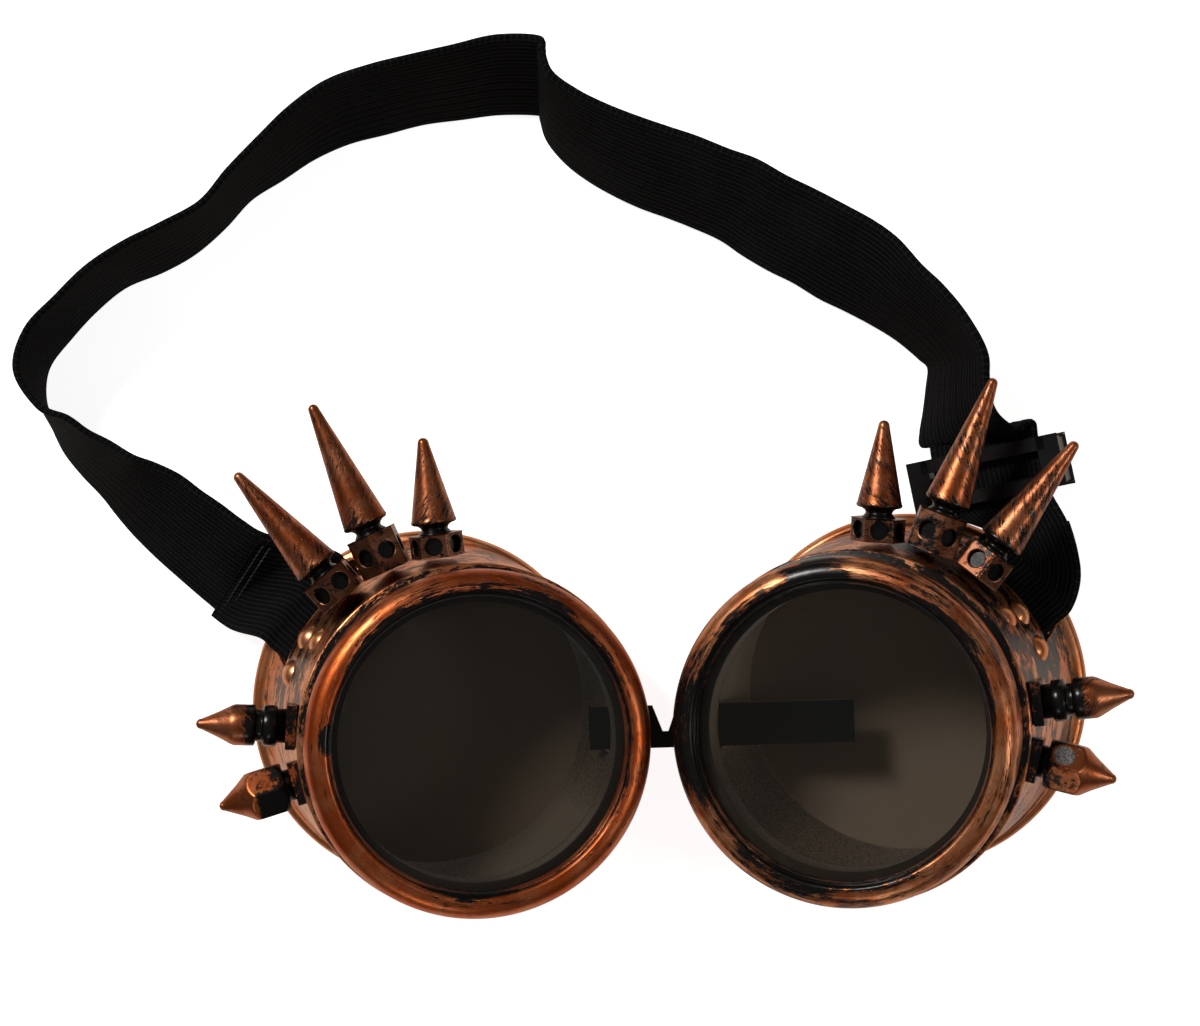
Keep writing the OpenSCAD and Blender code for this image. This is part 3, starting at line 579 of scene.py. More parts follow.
def cup_grid(profile, count):
    """Points of the cup: each section point is carried round both circles and the two results are mixed."""
    angle = np.linspace(0, 2 * math.pi, count + 1)[:-1]
    c, s = np.cos(angle)[:, None], np.sin(angle)[:, None]
    rim = np.stack([RIM_CENTRE[0] + c * profile[:, 0], RIM_CENTRE[1] + s * profile[:, 0],
        0 * c + profile[:, 1]], -1)
    lens = np.stack([c * profile[:, 2], s * profile[:, 2], 0 * c + profile[:, 3]], -1)
    share = profile[None, :, 4, None]
    return (1 - share) * rim + share * moved(lens, LENS_AXES, LENS_SEAT)


# %% Cutting tools
def box_corners(low, high, axes, origin):
    """A plain box as two outlines of four corners."""
    x, y = [low[0], high[0], high[0], low[0]], [low[1], low[1], high[1], high[1]]
    grid = np.array([[[x[k], y[k], z] for k in range(4)] for z in (low[2], high[2])], float)
    return moved(grid, axes, origin)


def cut(piece, tools):
    """Cuts the tool meshes out of a piece and keeps its material, map and attributes."""
    for tool in tools:
        step = piece.modifiers.new("cut", "BOOLEAN")
        step.operation = "DIFFERENCE"
        step.solver = "EXACT"
        step.object = tool
    kept = bpy.data.meshes.new_from_object(piece.evaluated_get(bpy.context.evaluated_depsgraph_get()))
    piece.modifiers.clear()
    old, piece.data = piece.data, kept
    bpy.data.meshes.remove(old)
    for tool in tools:
        bpy.data.objects.remove(tool)


WINDOW_TURN = math.radians(WINDOW_ANGLE)
WINDOW_W = STRAP_W + 1.4
WINDOW_LOW = 3.4
WINDOW_HIGH = BAR_Z + 2.3 + 1.7
WINDOW_HUB = np.append(wall_middle(BAR_Z), 0)
WINDOW_AXES = np.array([[math.sin(WINDOW_TURN), math.cos(WINDOW_TURN), 0],
    [-math.cos(WINDOW_TURN), math.sin(WINDOW_TURN), 0], [0, 0, 1]])
BAR_R = wall_radius(BAR_Z) - 3
WINDOW_BOX = box_corners((BAR_R - 6, -WINDOW_W / 2, WINDOW_LOW), (BAR_R + 10, WINDOW_W / 2, WINDOW_HIGH),
    WINDOW_AXES, WINDOW_HUB)
SLOT_BOX = box_corners((-2, -3.95, 8.95), (24, 3.95, 10.65), np.eye(3), (0, 0, 0))
print("strap window", WINDOW_W, "mm wide, bar at radius", round(BAR_R, 2))

# %% [markdown]
# Three low round bosses stand on the temple side above the window. A whole ball pushed into
# the wall would come out on its inside, so each is only the top of a ball on a flat foot that
# ends within the wall. The bar in the window holds the loop of the strap.
# %% Bosses and strap bar
BOSSES = ((56.3, 18.0), (57.5, 13.6), (70.5, 13.6))  # (angle from the brow, height)
BOSS_D = 5.8
BOSS_FOOT = 1.0  # over the middle of the ball


def boss_grid(turn, z):
    """The top of a ball: (R cos a, max(R sin a, foot)) turned round its axis, a from the foot to the pole."""
    a = np.append(-math.pi / 2, np.linspace(math.asin(BOSS_FOOT / BOSS_D * 2), math.pi / 2, 14))
    profile = [np.maximum(BOSS_D / 2 * np.cos(a), 0.01), np.maximum(BOSS_D / 2 * np.sin(a), BOSS_FOOT)]
    ball, u, v = turned(np.stack(profile, -1), 40)
    middle, reach = wall_middle(z), wall_radius(z) - BOSS_D * 0.06
    t = math.radians(turn)
    place = (middle[0] + reach * math.sin(t), middle[1] + reach * math.cos(t), z)
    soot_and_painted_light = np.interp(a, [-math.pi / 2, math.pi / 2], [0.5, -2.4])
    return moved(ball, seat_axes(turn, 20), place), u, v, soot_and_painted_light


def bar_grid():
    """The strap bar: a circle of 24 points at each end."""
    t = np.linspace(0, 2 * math.pi, 25)[:-1]
    circle = np.stack([BAR_D / 2 * np.cos(t), np.zeros(24), BAR_D / 2 * np.sin(t)], -1)
    ends = [circle + np.array([BAR_R, k * (WINDOW_W / 2 + 1), BAR_Z]) for k in (-1, 1)]
    return moved(np.stack(ends), WINDOW_AXES, WINDOW_HUB)


TEMPLE_SHADE = [(25, 45, 0.45), (90, 40, 0.3)]
# Where a pool of light is painted on the inside of each cup: (middle, half width, strength)
PAINTED_LIGHT_INSIDE = {-1: [(235, 50, 2)], 1: [(140, 70, 4)]}
for side, word in SIDES:
    profile = cup_profile()
    grid = cup_grid(profile, COUNT)
    angle = np.linspace(0, 2 * math.pi, COUNT + 1)
    length = np.concatenate([[0], np.cumsum(np.linalg.norm(np.diff(grid[0], axis=0), axis=1)), [0]])
    length[-1] = length[-2] + np.linalg.norm(grid[0, 0] - grid[0, -1])
    soot_and_painted_light = profile[None, :, 5] + bumps(angle[:-1], TEMPLE_SHADE)[:, None] * (profile[None, :, 4] > 0.3)
    # Painted light: the inside of each cup is made paler there
    soot_and_painted_light -= bumps(angle[:-1], PAINTED_LIGHT_INSIDE[side])[:, None] * (profile[None, :, 5] < -4)
    finish = CUP_FINISH[side]
    cup = grid_piece(f"{word}_cup_detail", [(mirrored(grid, side), True, True, False, angle, length)],
        finish, [soot_and_painted_light])
    window = grid_piece("window_cutter", [prism(mirrored(WINDOW_BOX, side))], finish)
    slot = grid_piece("slot_cutter", [prism(mirrored(SLOT_BOX, side))], finish)
    cut(cup, [window, slot])
    balls = [boss_grid(turn, z) for turn, z in BOSSES]
    bosses = grid_piece(f"{word}_cup_bosses",
        [(mirrored(ball, side), True, False, False, u, v) for ball, u, v, dark in balls],
        finish, [dark[None, :] for ball, u, v, dark in balls])
    rail = grid_piece(f"{word}_strap_bar", [prism(mirrored(bar_grid(), side))], finish)
    for piece in (cup, bosses, rail):
        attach(piece, f"{word}_eyecup")
        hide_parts(f"{word}_cup")

# %% [markdown]
# ## Spikes, studs and nuts
# The spikes are turned, so a profile of each is enough, and the lacquer is thick in the
# waisted neck. The nuts are six-sided with a round recess in each side. The recesses are cut
# from a plain prism in one go, and a bevel rounds the edges slightly, which catches the light.
# %% Brow spikes
def spike_profile(i):
    """(r, z, soot) of one spike: neck, narrow waist, foot of the cone, cone and rounded tip."""
    nut, foot = NUT_HEIGHTS[i], NUT_HEIGHTS[i] + NECK_H
    top, tip = foot + SPIKE_LENGTHS[i], TIP_D / 2
    slope = (SPIKE_D / 2 - tip) / SPIKE_LENGTHS[i]
    points = [(0.02, nut - 0.5, 1), (2.0, nut - 0.5, 1), (2.9, nut, 1.6), (2.75, nut + 0.25, 1.6),
        (2.35, nut + 0.7, 1.6), (2.3, nut + 0.95, 1.6), (2.5, nut + 1.3, 1.6), (3.0, foot - 0.15, 1.3),
        (3.6, foot - 0.02, 1.0), (3.85, foot + 0.12, 0.5), (4.0, foot + 0.45, 0.2)]
    cone = np.linspace(0.7, SPIKE_LENGTHS[i] - tip - 0.3, 22)
    points += [(SPIKE_D / 2 - slope * z, foot + z, 0.15 * math.exp(-z / 2.5)) for z in cone]
    points += [(r, z, -0.4) for r, z in arc((0, top - tip), tip + slope * tip, 8, 88, 8)]
    points += [(0.01, top + 0.05, -0.4)]
    return np.array(points)


def spike_place(i):
    """Axes and origin of the seat of spike i."""
    axes = seat_axes(SPIKE_ANGLES[i], SPIKE_RISE)
    return axes, seat_origin(SPIKE_ANGLES[i], SPIKE_HEIGHTS[i], SPIKE_SEAT)


print("lengths of the spikes' cones in mm:", SPIKE_LENGTHS)

# %% Nuts, and both on the cups
RECESS_DEPTH = 0.9


def soft_edges(piece, width, segments=3):
    """Rounds the edges of a finished mesh by that width in millimetres."""
    bevel = piece.modifiers.new("soft_edges", "BEVEL")
    bevel.width = width * 0.001
    bevel.segments = segments
    bevel.limit_method = "ANGLE"
    bevel.angle_limit = math.radians(30)
    bevel.harden_normals = False
    return piece


def hexagon(radius, z, turn):
    """Six corners of a nut at height z; the turn is in degrees."""
    a = np.radians(np.arange(6) * 60 + turn)
    return np.stack([radius * np.cos(a), radius * np.sin(a), np.full(6, float(z))], -1)


def recess_grid(radius, height, a):
    """A round plug that reaches into the side of the nut at the angle a."""
    across = np.array([[-math.sin(a), math.cos(a), 0], [0, 0, 1], [math.cos(a), math.sin(a), 0]])
    t = np.linspace(0, 2 * math.pi, 29)[:-1]
    ends = (NUT_FLATS / 2 - RECESS_DEPTH, NUT_FLATS / 2 + 1)
    disc = np.stack([np.stack([radius * np.cos(t), radius * np.sin(t), np.full(28, z)], -1) for z in ends])
    return moved(disc, across, (0, 0, height / 2))


def blacken_recesses(nut, side, axes, origin, turn):
    """Soot on the corners that lie deeper than a quarter millimetre behind every side of the hexagon."""
    corners = np.empty(len(nut.data.vertices) * 3)
    nut.data.vertices.foreach_get("co", corners)
    local = ((corners.reshape(-1, 3) * 1000 + MIDDLE) * (side, 1, 1) - np.array(origin)) @ np.linalg.inv(axes)
    a = np.radians(turn + 30 + 60 * np.arange(6))
    depth = NUT_FLATS / 2 - (local[:, :1] * np.cos(a) + local[:, 1:2] * np.sin(a)).max(1)
    layer = nut.data.attributes.get("soot_and_painted_light") or nut.data.attributes.new("soot_and_painted_light", "FLOAT", "POINT")
    layer.data.foreach_set("value", np.where(depth > 0.25, 3.0, 0.0))
    print(nut.name, "corners in the recesses:", int((depth > 0.25).sum()), "of", len(depth))


def spike_nut(side, i, name):
    """The nut of spike i: a hexagonal prism minus a round recess in each side."""
    height, turn = NUT_HEIGHTS[i], NUT_TURNS[i]
    axes, origin = spike_place(i)
    radius = NUT_FLATS / math.sqrt(3)
    body = np.stack([hexagon(radius, 0, turn), hexagon(radius, height, turn)])
    nut = grid_piece(name, [prism(mirrored(moved(body, axes, origin), side))], NUT_FINISH[side],
        [np.array([[0.0]])], smooth=False)
    hole = min(3.0, height - 1) / 2
    plugs = [recess_grid(hole, height, math.radians(turn + 30 + 60 * k)) for k in range(6)]
    plugs = [prism(mirrored(moved(plug, axes, origin), side)) for plug in plugs]
    cut(nut, [grid_piece("recess", plugs, NUT_FINISH[side])])
    blacken_recesses(nut, side, axes, origin, turn)
    nut.data.polygons.foreach_set("use_smooth", np.zeros(len(nut.data.polygons), bool))
    return soft_edges(nut, 0.22)


for side, word in SIDES:
    for i, kind in enumerate(SPIKE_KINDS):
        profile = spike_profile(i)
        grid, u, v = turned(profile[:, :2], 96)
        grid = mirrored(moved(grid, *spike_place(i)), side)
        spike = grid_piece(f"{word}_{kind}_spike_detail", [(grid, True, False, False, u, v)],
            SPIKE_FINISH[side], [profile[None, :, 2]])
        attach(spike, f"{word}_eyecup")
        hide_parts(f"{word}_{kind}_spike")
        nut = spike_nut(side, i, f"{word}_{kind}_nut_detail")
        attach(nut, f"{word}_eyecup")
        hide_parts(f"{word}_{kind}_spike_nut")

# %% [markdown]
# The two temple studs differ: one is turned with two rings and a short cone, the other has a
# six-sided pointed head on a round neck. The head could be cut from a bar with a cone-shaped
# tool, but taking the smaller of the two radii at every height gives the same curved edges.
# %% Temple studs
RINGED_R = 3.5
RINGED_H = 13.0
HEX_R = 4.7
HEX_H = 11.0
STUD_NECK = [(0.02, PLATE_T - 0.4), (2.7, PLATE_T - 0.4), (2.7, PLATE_T + 0.9), (2.9, PLATE_T + 1.3),
    (0.02, PLATE_T + 1.4)]


def ringed_profile():
    """(r, z, soot) of the ringed stud."""
    r, z, t = RINGED_R, PLATE_T + 1.5, 0.26
    ring_1, ring_2, cone = RINGED_H * 0.18, RINGED_H * 0.28, RINGED_H * 0.56
    points = [(0.02, PLATE_T - 0.5, 1), (r - 0.6, PLATE_T - 0.4, 1), (r - 0.6, z - 0.1, 1.6),
        (r - t, z, 1.6), (r, z + t, 1.4), (r, z + ring_1 - t, 1.6), (r - t, z + ring_1, 1.8),
        (r - 0.75, z + ring_1 + 0.1, 2), (r - 0.8, z + ring_1 + t, 2), (r - 0.8, z + ring_2 - t, 2),
        (r - 0.75, z + ring_2 - 0.1, 2), (r - t, z + ring_2, 1.6), (r, z + ring_2 + t, 1.2),
        (r, z + ring_2 + 1.2, 1.0), (r, z + ring_2 + 1.8, 0.2), (r, z + cone - 0.25, -0.3),
        (r - 0.12, z + cone + 0.15, -0.5)]
    foot = np.array([r, cone])
    waist = np.array([r * 0.62, cone + (RINGED_H - cone) * 0.45])
    tip = np.array([TIP_D / 2 + 0.1, RINGED_H - 0.35])
    t = np.linspace(0.12, 1, 8)[:, None]
    points += [(a, z + b, -0.4) for a, b in (1 - t) * foot + t * waist]
    points += [(a, z + b, -0.4) for a, b in (1 - t) * waist + t * tip]
    points += [(a, b, -0.4) for a, b in arc((0, z + RINGED_H - 0.3), 0.88, 8, 86, 6)]
    points += [(0.01, z + RINGED_H + 0.58, -0.4)]
    return np.array(points)


def hex_head():
    """A six-sided bar turned to a cone.

    At every height it takes the smaller of the bar's and the cone's radius, rounded where
    they meet by the smooth minimum q + h (p - q) - k h (1 - h) with h = 0.5 + (q - p) / 2k.
    """
    cone = HEX_H * 0.48
    a = np.linspace(0, 2 * math.pi, 145)[:-1]
    bar = HEX_R * math.cos(math.pi / 6) / np.cos(a % (math.pi / 3) - math.pi / 6)
    z = np.concatenate([np.linspace(0, 0.1, 8), np.linspace(0.12, 0.4, 8), np.linspace(0.42, 1, 40)]) * HEX_H
    turned_r = np.interp(z, [0, HEX_H * 0.1, cone, cone + (HEX_H - cone) * 0.45, HEX_H],
        [HEX_R * 0.84, HEX_R + 0.05, HEX_R + 0.05, HEX_R * 0.6, TIP_D / 2])
    p, q, k = bar[:, None], turned_r[None, :], 0.22
    h = np.clip(0.5 + 0.5 * (q - p) / k, 0, 1)
    radius = q * (1 - h) + p * h - k * h * (1 - h)
    tip = np.array([(r, HEX_H + b) for r, b in arc((0, -0.25), 0.85, 18, 86, 6)])
    radius = np.concatenate([np.full((144, 1), 0.02), radius, np.broadcast_to(tip[:, 0], (144, 6)),
        np.full((144, 1), 0.01)], 1)
    z = PLATE_T + 1.2 + np.concatenate([[0], z, tip[:, 1], [HEX_H + 0.6]])
    grid = np.stack([radius * np.cos(a)[:, None], radius * np.sin(a)[:, None],
        np.broadcast_to(z, radius.shape)], -1)
    soot_and_painted_light = np.interp(z - PLATE_T - 1.2, [0, 1.5, 4.5, 6, 11], [1.8, 1.3, 0.4, -0.4, -0.5])
    return grid, np.append(a, 2 * math.pi), z, soot_and_painted_light


def head_spot(side, u, v):
    """Soot of the one marked side of the head: a bare round spot on the right, a black square on the left."""
    around = (np.degrees(u)[:, None] - (150 if side > 0 else 210)) / 60 * HEX_R
    up = v[None, :] - PLATE_T - 1.2 - 2.6
    if side > 0:
        return -8 * np.clip(4 - 2 * np.hypot(around, up), 0, 1)
    return 1.6 * np.clip(3 - np.abs(around), 0, 1) * np.clip(3 - np.abs(up), 0, 1)


for side, word in SIDES:
    axes, origin = seat_axes(STUD_ANGLES[0], STUD_RISE), seat_origin(STUD_ANGLES[0], STUD_Z, STUD_SEAT)
    profile = ringed_profile()
    grid, u, v = turned(profile[:, :2], 96)
    stud = grid_piece(f"{word}_ringed_stud_detail",
        [(mirrored(moved(grid, axes, origin), side), True, False, False, u, v)],
        SPIKE_FINISH[side], [profile[None, :, 2]])
    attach(stud, f"{word}_eyecup")
    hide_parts(f"{word}_ringed_stud")
    axes, origin = seat_axes(STUD_ANGLES[1], STUD_RISE), seat_origin(STUD_ANGLES[1], STUD_Z, STUD_SEAT)
    grid, u, v, soot_and_painted_light = hex_head()
    head = grid_piece(f"{word}_hex_stud_detail",
        [(mirrored(moved(grid, axes, origin), side), True, False, False, u, v)],
        STUD_FINISH, [soot_and_painted_light[None, :] * 0.45 + head_spot(side, u[:-1], v)])
    grid, u, v = turned(STUD_NECK, 64)
    neck = grid_piece(f"{word}_hex_stud_neck",
        [(mirrored(moved(grid, axes, origin), side), True, False, False, u, v)],
        SPIKE_FINISH[side], [np.array([[1.6]])])
    for piece in (head, neck):
        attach(piece, f"{word}_eyecup")
        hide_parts(f"{word}_hex_stud")

# %% [markdown]
# ## Head strap
# The strap is one ribbed elastic band. Its left end goes under the bar of the left cup, back
# over it and is sewn down. It runs behind the head with a sharp fold, through the slider,
# round the bar of the right cup and back under itself. A cloth simulation would settle a wide
# sheet well, but a flat strap on edge falls over in it, so the band follows stations that
# repeat the CAD's. Each has a point on the lower and one on the upper edge.
# %% Route of the strap
# x, y, z of the lower edge, then of the upper edge, from the fold behind the head to each cup
LEFT_ROUTE = np.array([
    -19.3, 111.5, 0.6, -17.7, 121.8, 17.5, -26.8, 112, 0.6, -25.2, 122.3, 17.5,
    -33.9, 111.5, 0.6, -32.7, 120.7, 18, -40.9, 110.9, 0.6, -40.2, 119.2, 18.5,
    -47.9, 109.4, 0.6, -47.7, 117.7, 18.5, -54.9, 107.9, 0.6, -55.2, 115.2, 19,
    -61.4, 105.4, 0.6, -61.7, 110.7, 19.5, -67.4, 101.8, 0.6, -67.1, 105.6, 20,
    -73.4, 98.3, 0.6, -72.6, 100.1, 20.5, -78.4, 93.3, 0.6, -77.6, 94.6, 20.5,
    -83.9, 88.8, 0.6, -84.6, 91.1, 20.5, -89.9, 85.7, 0.6, -91.6, 88, 20.5,
    -96.9, 83.2, 0.6, -98.1, 84, 20.5, -102.4, 79.2, 0.6, -103.6, 79, 20.5,
    -107.4, 74.2, 0.6, -109.1, 73.5, 20.5, -111.9, 68.6, 0.6, -111.1, 66.4, 20.5,
    -112.8, 62.1, 0.6, -107.1, 59.9, 20, -110.8, 57.1, 0.6, -102.6, 57.9, 19,
    -108.8, 52.6, 0.6, -99.1, 55.4, 18.5, -105.8, 48.6, 0.6, -95.6, 53.4, 17.5,
    -102.3, 44.6, 0.6, -91.6, 50.9, 17, -99.3, 40.6, 0.6, -88.2, 49.4, 15,
    -96.2, 36.6, 0.7, -84.2, 47.4, 13.5, -92.7, 33.1, 0.7, -80.8, 44.4, 12.5,
    -89.2, 29.7, 0.8, -77.3, 41.9, 12, -85.2, 26.2, 0.9, -73.8, 38.9, 11.5,
    -81.6, 23.2, 1.2, -70.3, 36.4, 10.5, -77.6, 19.7, 2.8, -64.9, 34.8, 7,
]).reshape(-1, 2, 3)
RIGHT_ROUTE = np.array([
    -18.8, 110.1, 0.6, -17.2, 119.6, 17.8, -17.8, 106.5, 0.6, -15.7, 115.3, 18,
    -14.8, 102.5, 0.6, -11.2, 111.8, 17.5, -10.8, 99, 0.6, -6.2, 109.3, 17,
    -6.3, 96, 0.6, -1.2, 107.3, 16.5, -1.7, 93.5, 0.6, 4.3, 105.3, 16, 3.3, 91.6, 0.6, 9.3, 103.3, 15.5,
    7.8, 89.6, 0.6, 14.8, 100.8, 15.5, 12.8, 87.1, 0.6, 19.8, 98.8, 15, 16.8, 84.1, 0.6, 24.8, 95.8, 14.5,
    21.3, 81.1, 0.6, 29.8, 93.3, 14, 25.9, 78.6, 0.6, 34.9, 90.3, 14, 30.4, 75.6, 0.6, 39.9, 87.3, 13.5,
    34.9, 73.1, 0.6, 43.9, 83.9, 15, 39.4, 70.6, 0.6, 47.5, 78.9, 17, 43.9, 67.6, 0.6, 51.1, 74.9, 18,
    47.9, 64.1, 0.6, 54.6, 69.9, 18.5, 49.8, 62.3, 0.6, 57.7, 63.2, 18, 49.4, 58.6, 0.9, 57.9, 58.7, 18,
    48.7, 54.1, 1.6, 58.1, 54.7, 17.8, 47.9, 50.6, 2.4, 59.7, 51.7, 16.8, 47.4, 48.2, 3.2, 63.2, 49.8, 14.6,
]).reshape(-1, 2, 3)
LOOP_ROUTE = np.array([52.3, 34.6, 6, 71.6, 33.5, 12, 54.6, 33.8, 7.6, 73, 27.9, 11.4,
    56.6, 33.4, 8.8, 73.5, 23.2, 10.5]).reshape(-1, 2, 3)
print("stations:", len(LEFT_ROUTE), len(RIGHT_ROUTE), len(LOOP_ROUTE))

# %% Stations in the slider and at the windows
SLIDER_AT = np.array([58.8, 42.4, 8.4])
SLIDER_TURN = math.radians(9.4)
SLIDER_LEAN = math.radians(25)
SLIDER_TRAVEL = 1.5
SLIDER_BAR = 1.6
SLIDER_SLOT = 1.8
SLIDER_RAIL = 3.3
SLIDER_T = 1.6
SLIDER_LENGTH = 3 * SLIDER_BAR + 2 * SLIDER_SLOT
SLIDER_X = np.array([math.cos(SLIDER_LEAN) * math.cos(SLIDER_TURN),
    math.cos(SLIDER_LEAN) * math.sin(SLIDER_TURN), math.sin(SLIDER_LEAN)])
SLIDER_Y = np.array([-math.sin(SLIDER_TURN), math.cos(SLIDER_TURN), 0.0])
LOOP_R = BAR_D / 2 + 0.3 + STRAP_T / 2  # middle of the band round a bar
LAYER_GAP = 2.1  # between the middles of two layers
AT_WINDOW = 34  # from the cup's middle to the band before the window, and in it
IN_WINDOW = 31


def slider_station(y):
    """Edges of the band in the slider, y along the band."""
    return np.array([SLIDER_AT + SLIDER_Y * y + SLIDER_X * s * STRAP_W / 2 for s in (-1, 1)])


def window_station(side, r, z):
    """Edges of the band at the window of a cup, r out from the cup's middle and z up."""
    m = WINDOW_HUB[:2] + r * np.array([math.sin(WINDOW_TURN), math.cos(WINDOW_TURN)])
    d = np.array([-math.cos(WINDOW_TURN), math.sin(WINDOW_TURN)]) * STRAP_W / 2
    ends = (1, -1) if side > 0 else (-1, 1)
    return np.array([[side * (m[0] + e * d[0]), m[1] + e * d[1], z] for e in ends])


def bar_turn(side, up):
    """Half a turn round the bar, from one layer to the other."""
    turns = [math.radians(up * (90 - k * 30)) for k in range(7)]
    return np.array([window_station(side, BAR_R - LOOP_R * math.cos(a), BAR_Z + LOOP_R * math.sin(a))
        for a in turns])


def lifted(stations, i, d):
    """Station i moved along its normal by d."""
    m = stations.mean(1)
    n = np.cross(m[min(i + 1, len(m) - 1)] - m[i - 1], stations[i, 1] - stations[i, 0])
    return stations[i] + n / np.linalg.norm(n) * d


left_main = np.concatenate([LEFT_ROUTE, [window_station(-1, AT_WINDOW, BAR_Z - LOOP_R + 0.1),
    window_station(-1, IN_WINDOW, BAR_Z - LOOP_R)], bar_turn(-1, -1)])
SEWN = len(LEFT_ROUTE) - 2
left_back = np.array([window_station(-1, IN_WINDOW, BAR_Z + LOOP_R),
    window_station(-1, AT_WINDOW, BAR_Z + LOOP_R),
    lifted(left_main, SEWN + 1, LAYER_GAP), lifted(left_main, SEWN, LAYER_GAP)])
right_main = np.concatenate([RIGHT_ROUTE,
    [slider_station(SLIDER_LENGTH / 2 + SLIDER_TRAVEL + 1.6), slider_station(SLIDER_LENGTH / 2),
        slider_station(-SLIDER_LENGTH / 2)], LOOP_ROUTE,
    [window_station(1, AT_WINDOW, BAR_Z + LOOP_R), window_station(1, IN_WINDOW, BAR_Z + LOOP_R)]])
LOOP_AT = len(RIGHT_ROUTE) + 3
right_back = np.array([window_station(1, IN_WINDOW, BAR_Z - LOOP_R),
    window_station(1, AT_WINDOW, BAR_Z - LOOP_R)]
    + [lifted(right_main, LOOP_AT + k, -LAYER_GAP) for k in (2, 1, 0)])
strap_stations = np.concatenate([np.concatenate([left_main, left_back])[::-1], right_main,
    bar_turn(1, 1), right_back])
print("stations of the whole strap:", len(strap_stations))

# %% A smooth curve through the stations
def smooth_band(stations, steps):
    """Catmull-Rom curve through the stations, worked out for both edges at once."""
    padded = np.concatenate([stations[:1], stations, stations[-1:]])
    a, b, c, d = (x[:, None] for x in (padded[:-3], padded[1:-2], padded[2:-1], padded[3:]))
    t = (np.arange(steps) / steps)[None, :, None, None]
    curve = 0.5 * (2 * b + (c - a) * t + (2 * a - 5 * b + 4 * c - d) * t * t
        + (3 * b - a - 3 * c + d) * t ** 3)
    return np.concatenate([curve.reshape(-1, 2, 3), stations[-1:]])


def even(band_edges):
    """Every station keeps the strap's width, and no edge sinks below the table."""
    m = band_edges.mean(1)
    d = band_edges[:, 1] - band_edges[:, 0]
    h = d / np.linalg.norm(d, axis=1)[:, None] * STRAP_W / 2
    low = m[:, 2] - np.abs(h[:, 2]) - np.linalg.norm(h[:, :2], axis=1) * STRAP_T / STRAP_W
    m = m + np.array([0, 0, 1]) * np.maximum(0, 0.15 - low)[:, None]
    return np.stack([m - h, m + h], 1)


def band_normals(band_edges):
    """Unit normals: the direction of travel crossed with the direction over the width."""
    along = np.gradient(band_edges.mean(1), axis=0)
    n = np.cross(along, band_edges[:, 1] - band_edges[:, 0])
    return n / np.linalg.norm(n, axis=1)[:, None]


strap_edges = even(smooth_band(strap_stations, 8))
strap_middle = strap_edges.mean(1)

# %% [markdown]
# The section of the band is a closed loop: ribs on both faces and rounded edges. The weave
# itself is far too fine to model, so the material draws it from the strap's own map, in
# millimetres along and across: threads across the band, flecks of rubber and a dotted edge.
# The crests of the ribs are painted paler, a painted sheen.
# %% The elastic fabric
RIB_COUNT = 22
THREAD_PITCH = 0.42
DOT_PITCH = 1.1


def strap_fabric():
    """Matt black elastic: cross threads between ribs, pale flecks of rubber, dotted edges and wear."""
    material, tree, skin = ready_material("ribbed_elastic")
    u, v, surface = surface_map(tree)
    threads = maths(tree, "SINE", times(tree, u, 2 * math.pi / THREAD_PITCH))
    ribs = maths(tree, "SINE", times(tree, v, 2 * math.pi * RIB_COUNT / STRAP_W))
    grain = noise(tree, surface, 1.4, 4.0, 0.7)
    flecks = band(tree, noise(tree, surface, 3.1, 2.0, 0.6), 0.66, 0.74)
    inside = less(tree, 1.0, band(tree, maths(tree, "ABSOLUTE", v), STRAP_W / 2 - 1.3, STRAP_W / 2 - 0.9))
    dots = band(tree, maths(tree, "SINE", times(tree, u, 2 * math.pi / DOT_PITCH)), 0.75, 0.95)
    dots = times(tree, less(tree, 1.0, inside), dots)
    pale = times(tree, flecks, plus(tree, 0.25, times(tree, grain, 0.5)))
    pale = maths(tree, "MAXIMUM", pale, times(tree, dots, 0.25), True)
    wear = band(tree, noise(tree, surface, 0.07, 3.0, 0.6), 0.4, 0.75)
    cloth = mix_colour(tree, wear, (0.0022, 0.0022, 0.0025), (0.0055, 0.0055, 0.006))
    # Painted sheen: the crests of the ribs are painted paler where the grain is high
    cloth = mix_colour(tree, times(tree, band(tree, ribs, 0.2, 1.0), grain), cloth, (0.022, 0.022, 0.023))
    tree.links.new(mix_colour(tree, pale, cloth, (0.045, 0.045, 0.043)), skin.inputs["Base Color"])
    skin.inputs["Roughness"].default_value = 0.85
    skin.inputs["Specular IOR Level"].default_value = 0.08
    add_relief(tree, skin, plus(tree, times(tree, times(tree, threads, ribs), 0.5), grain), 0.8, 0.12)
    return material


FABRIC = strap_fabric()
print("fabric nodes:", len(FABRIC.node_tree.nodes))

# %% The strap
def strap_section(across=82, ribs=11):
    """(position over the width, height from the middle layer) of a closed section with ribs on both faces."""
    x = np.linspace(-1, 1, across)
    half = STRAP_T / 2 - 0.1
    rib = 0.11 * np.abs(np.sin(math.pi * ribs * (x + 1) / 2)) ** 0.7 * (np.abs(x) < 0.985)
    top = np.stack([x * (STRAP_W / 2 - 0.5), half + rib], -1)
    a = np.linspace(math.pi / 2, -math.pi / 2, 7)[1:-1]
    right = np.stack([STRAP_W / 2 - 0.5 + 0.5 * np.cos(a), half * np.sin(a)], -1)
    below = np.stack([x[::-1] * (STRAP_W / 2 - 0.5), -half - rib[::-1]], -1)
    left = np.stack([-STRAP_W / 2 + 0.5 - 0.5 * np.cos(a), -half * np.sin(a)], -1)
    return np.concatenate([top, right, below, left])


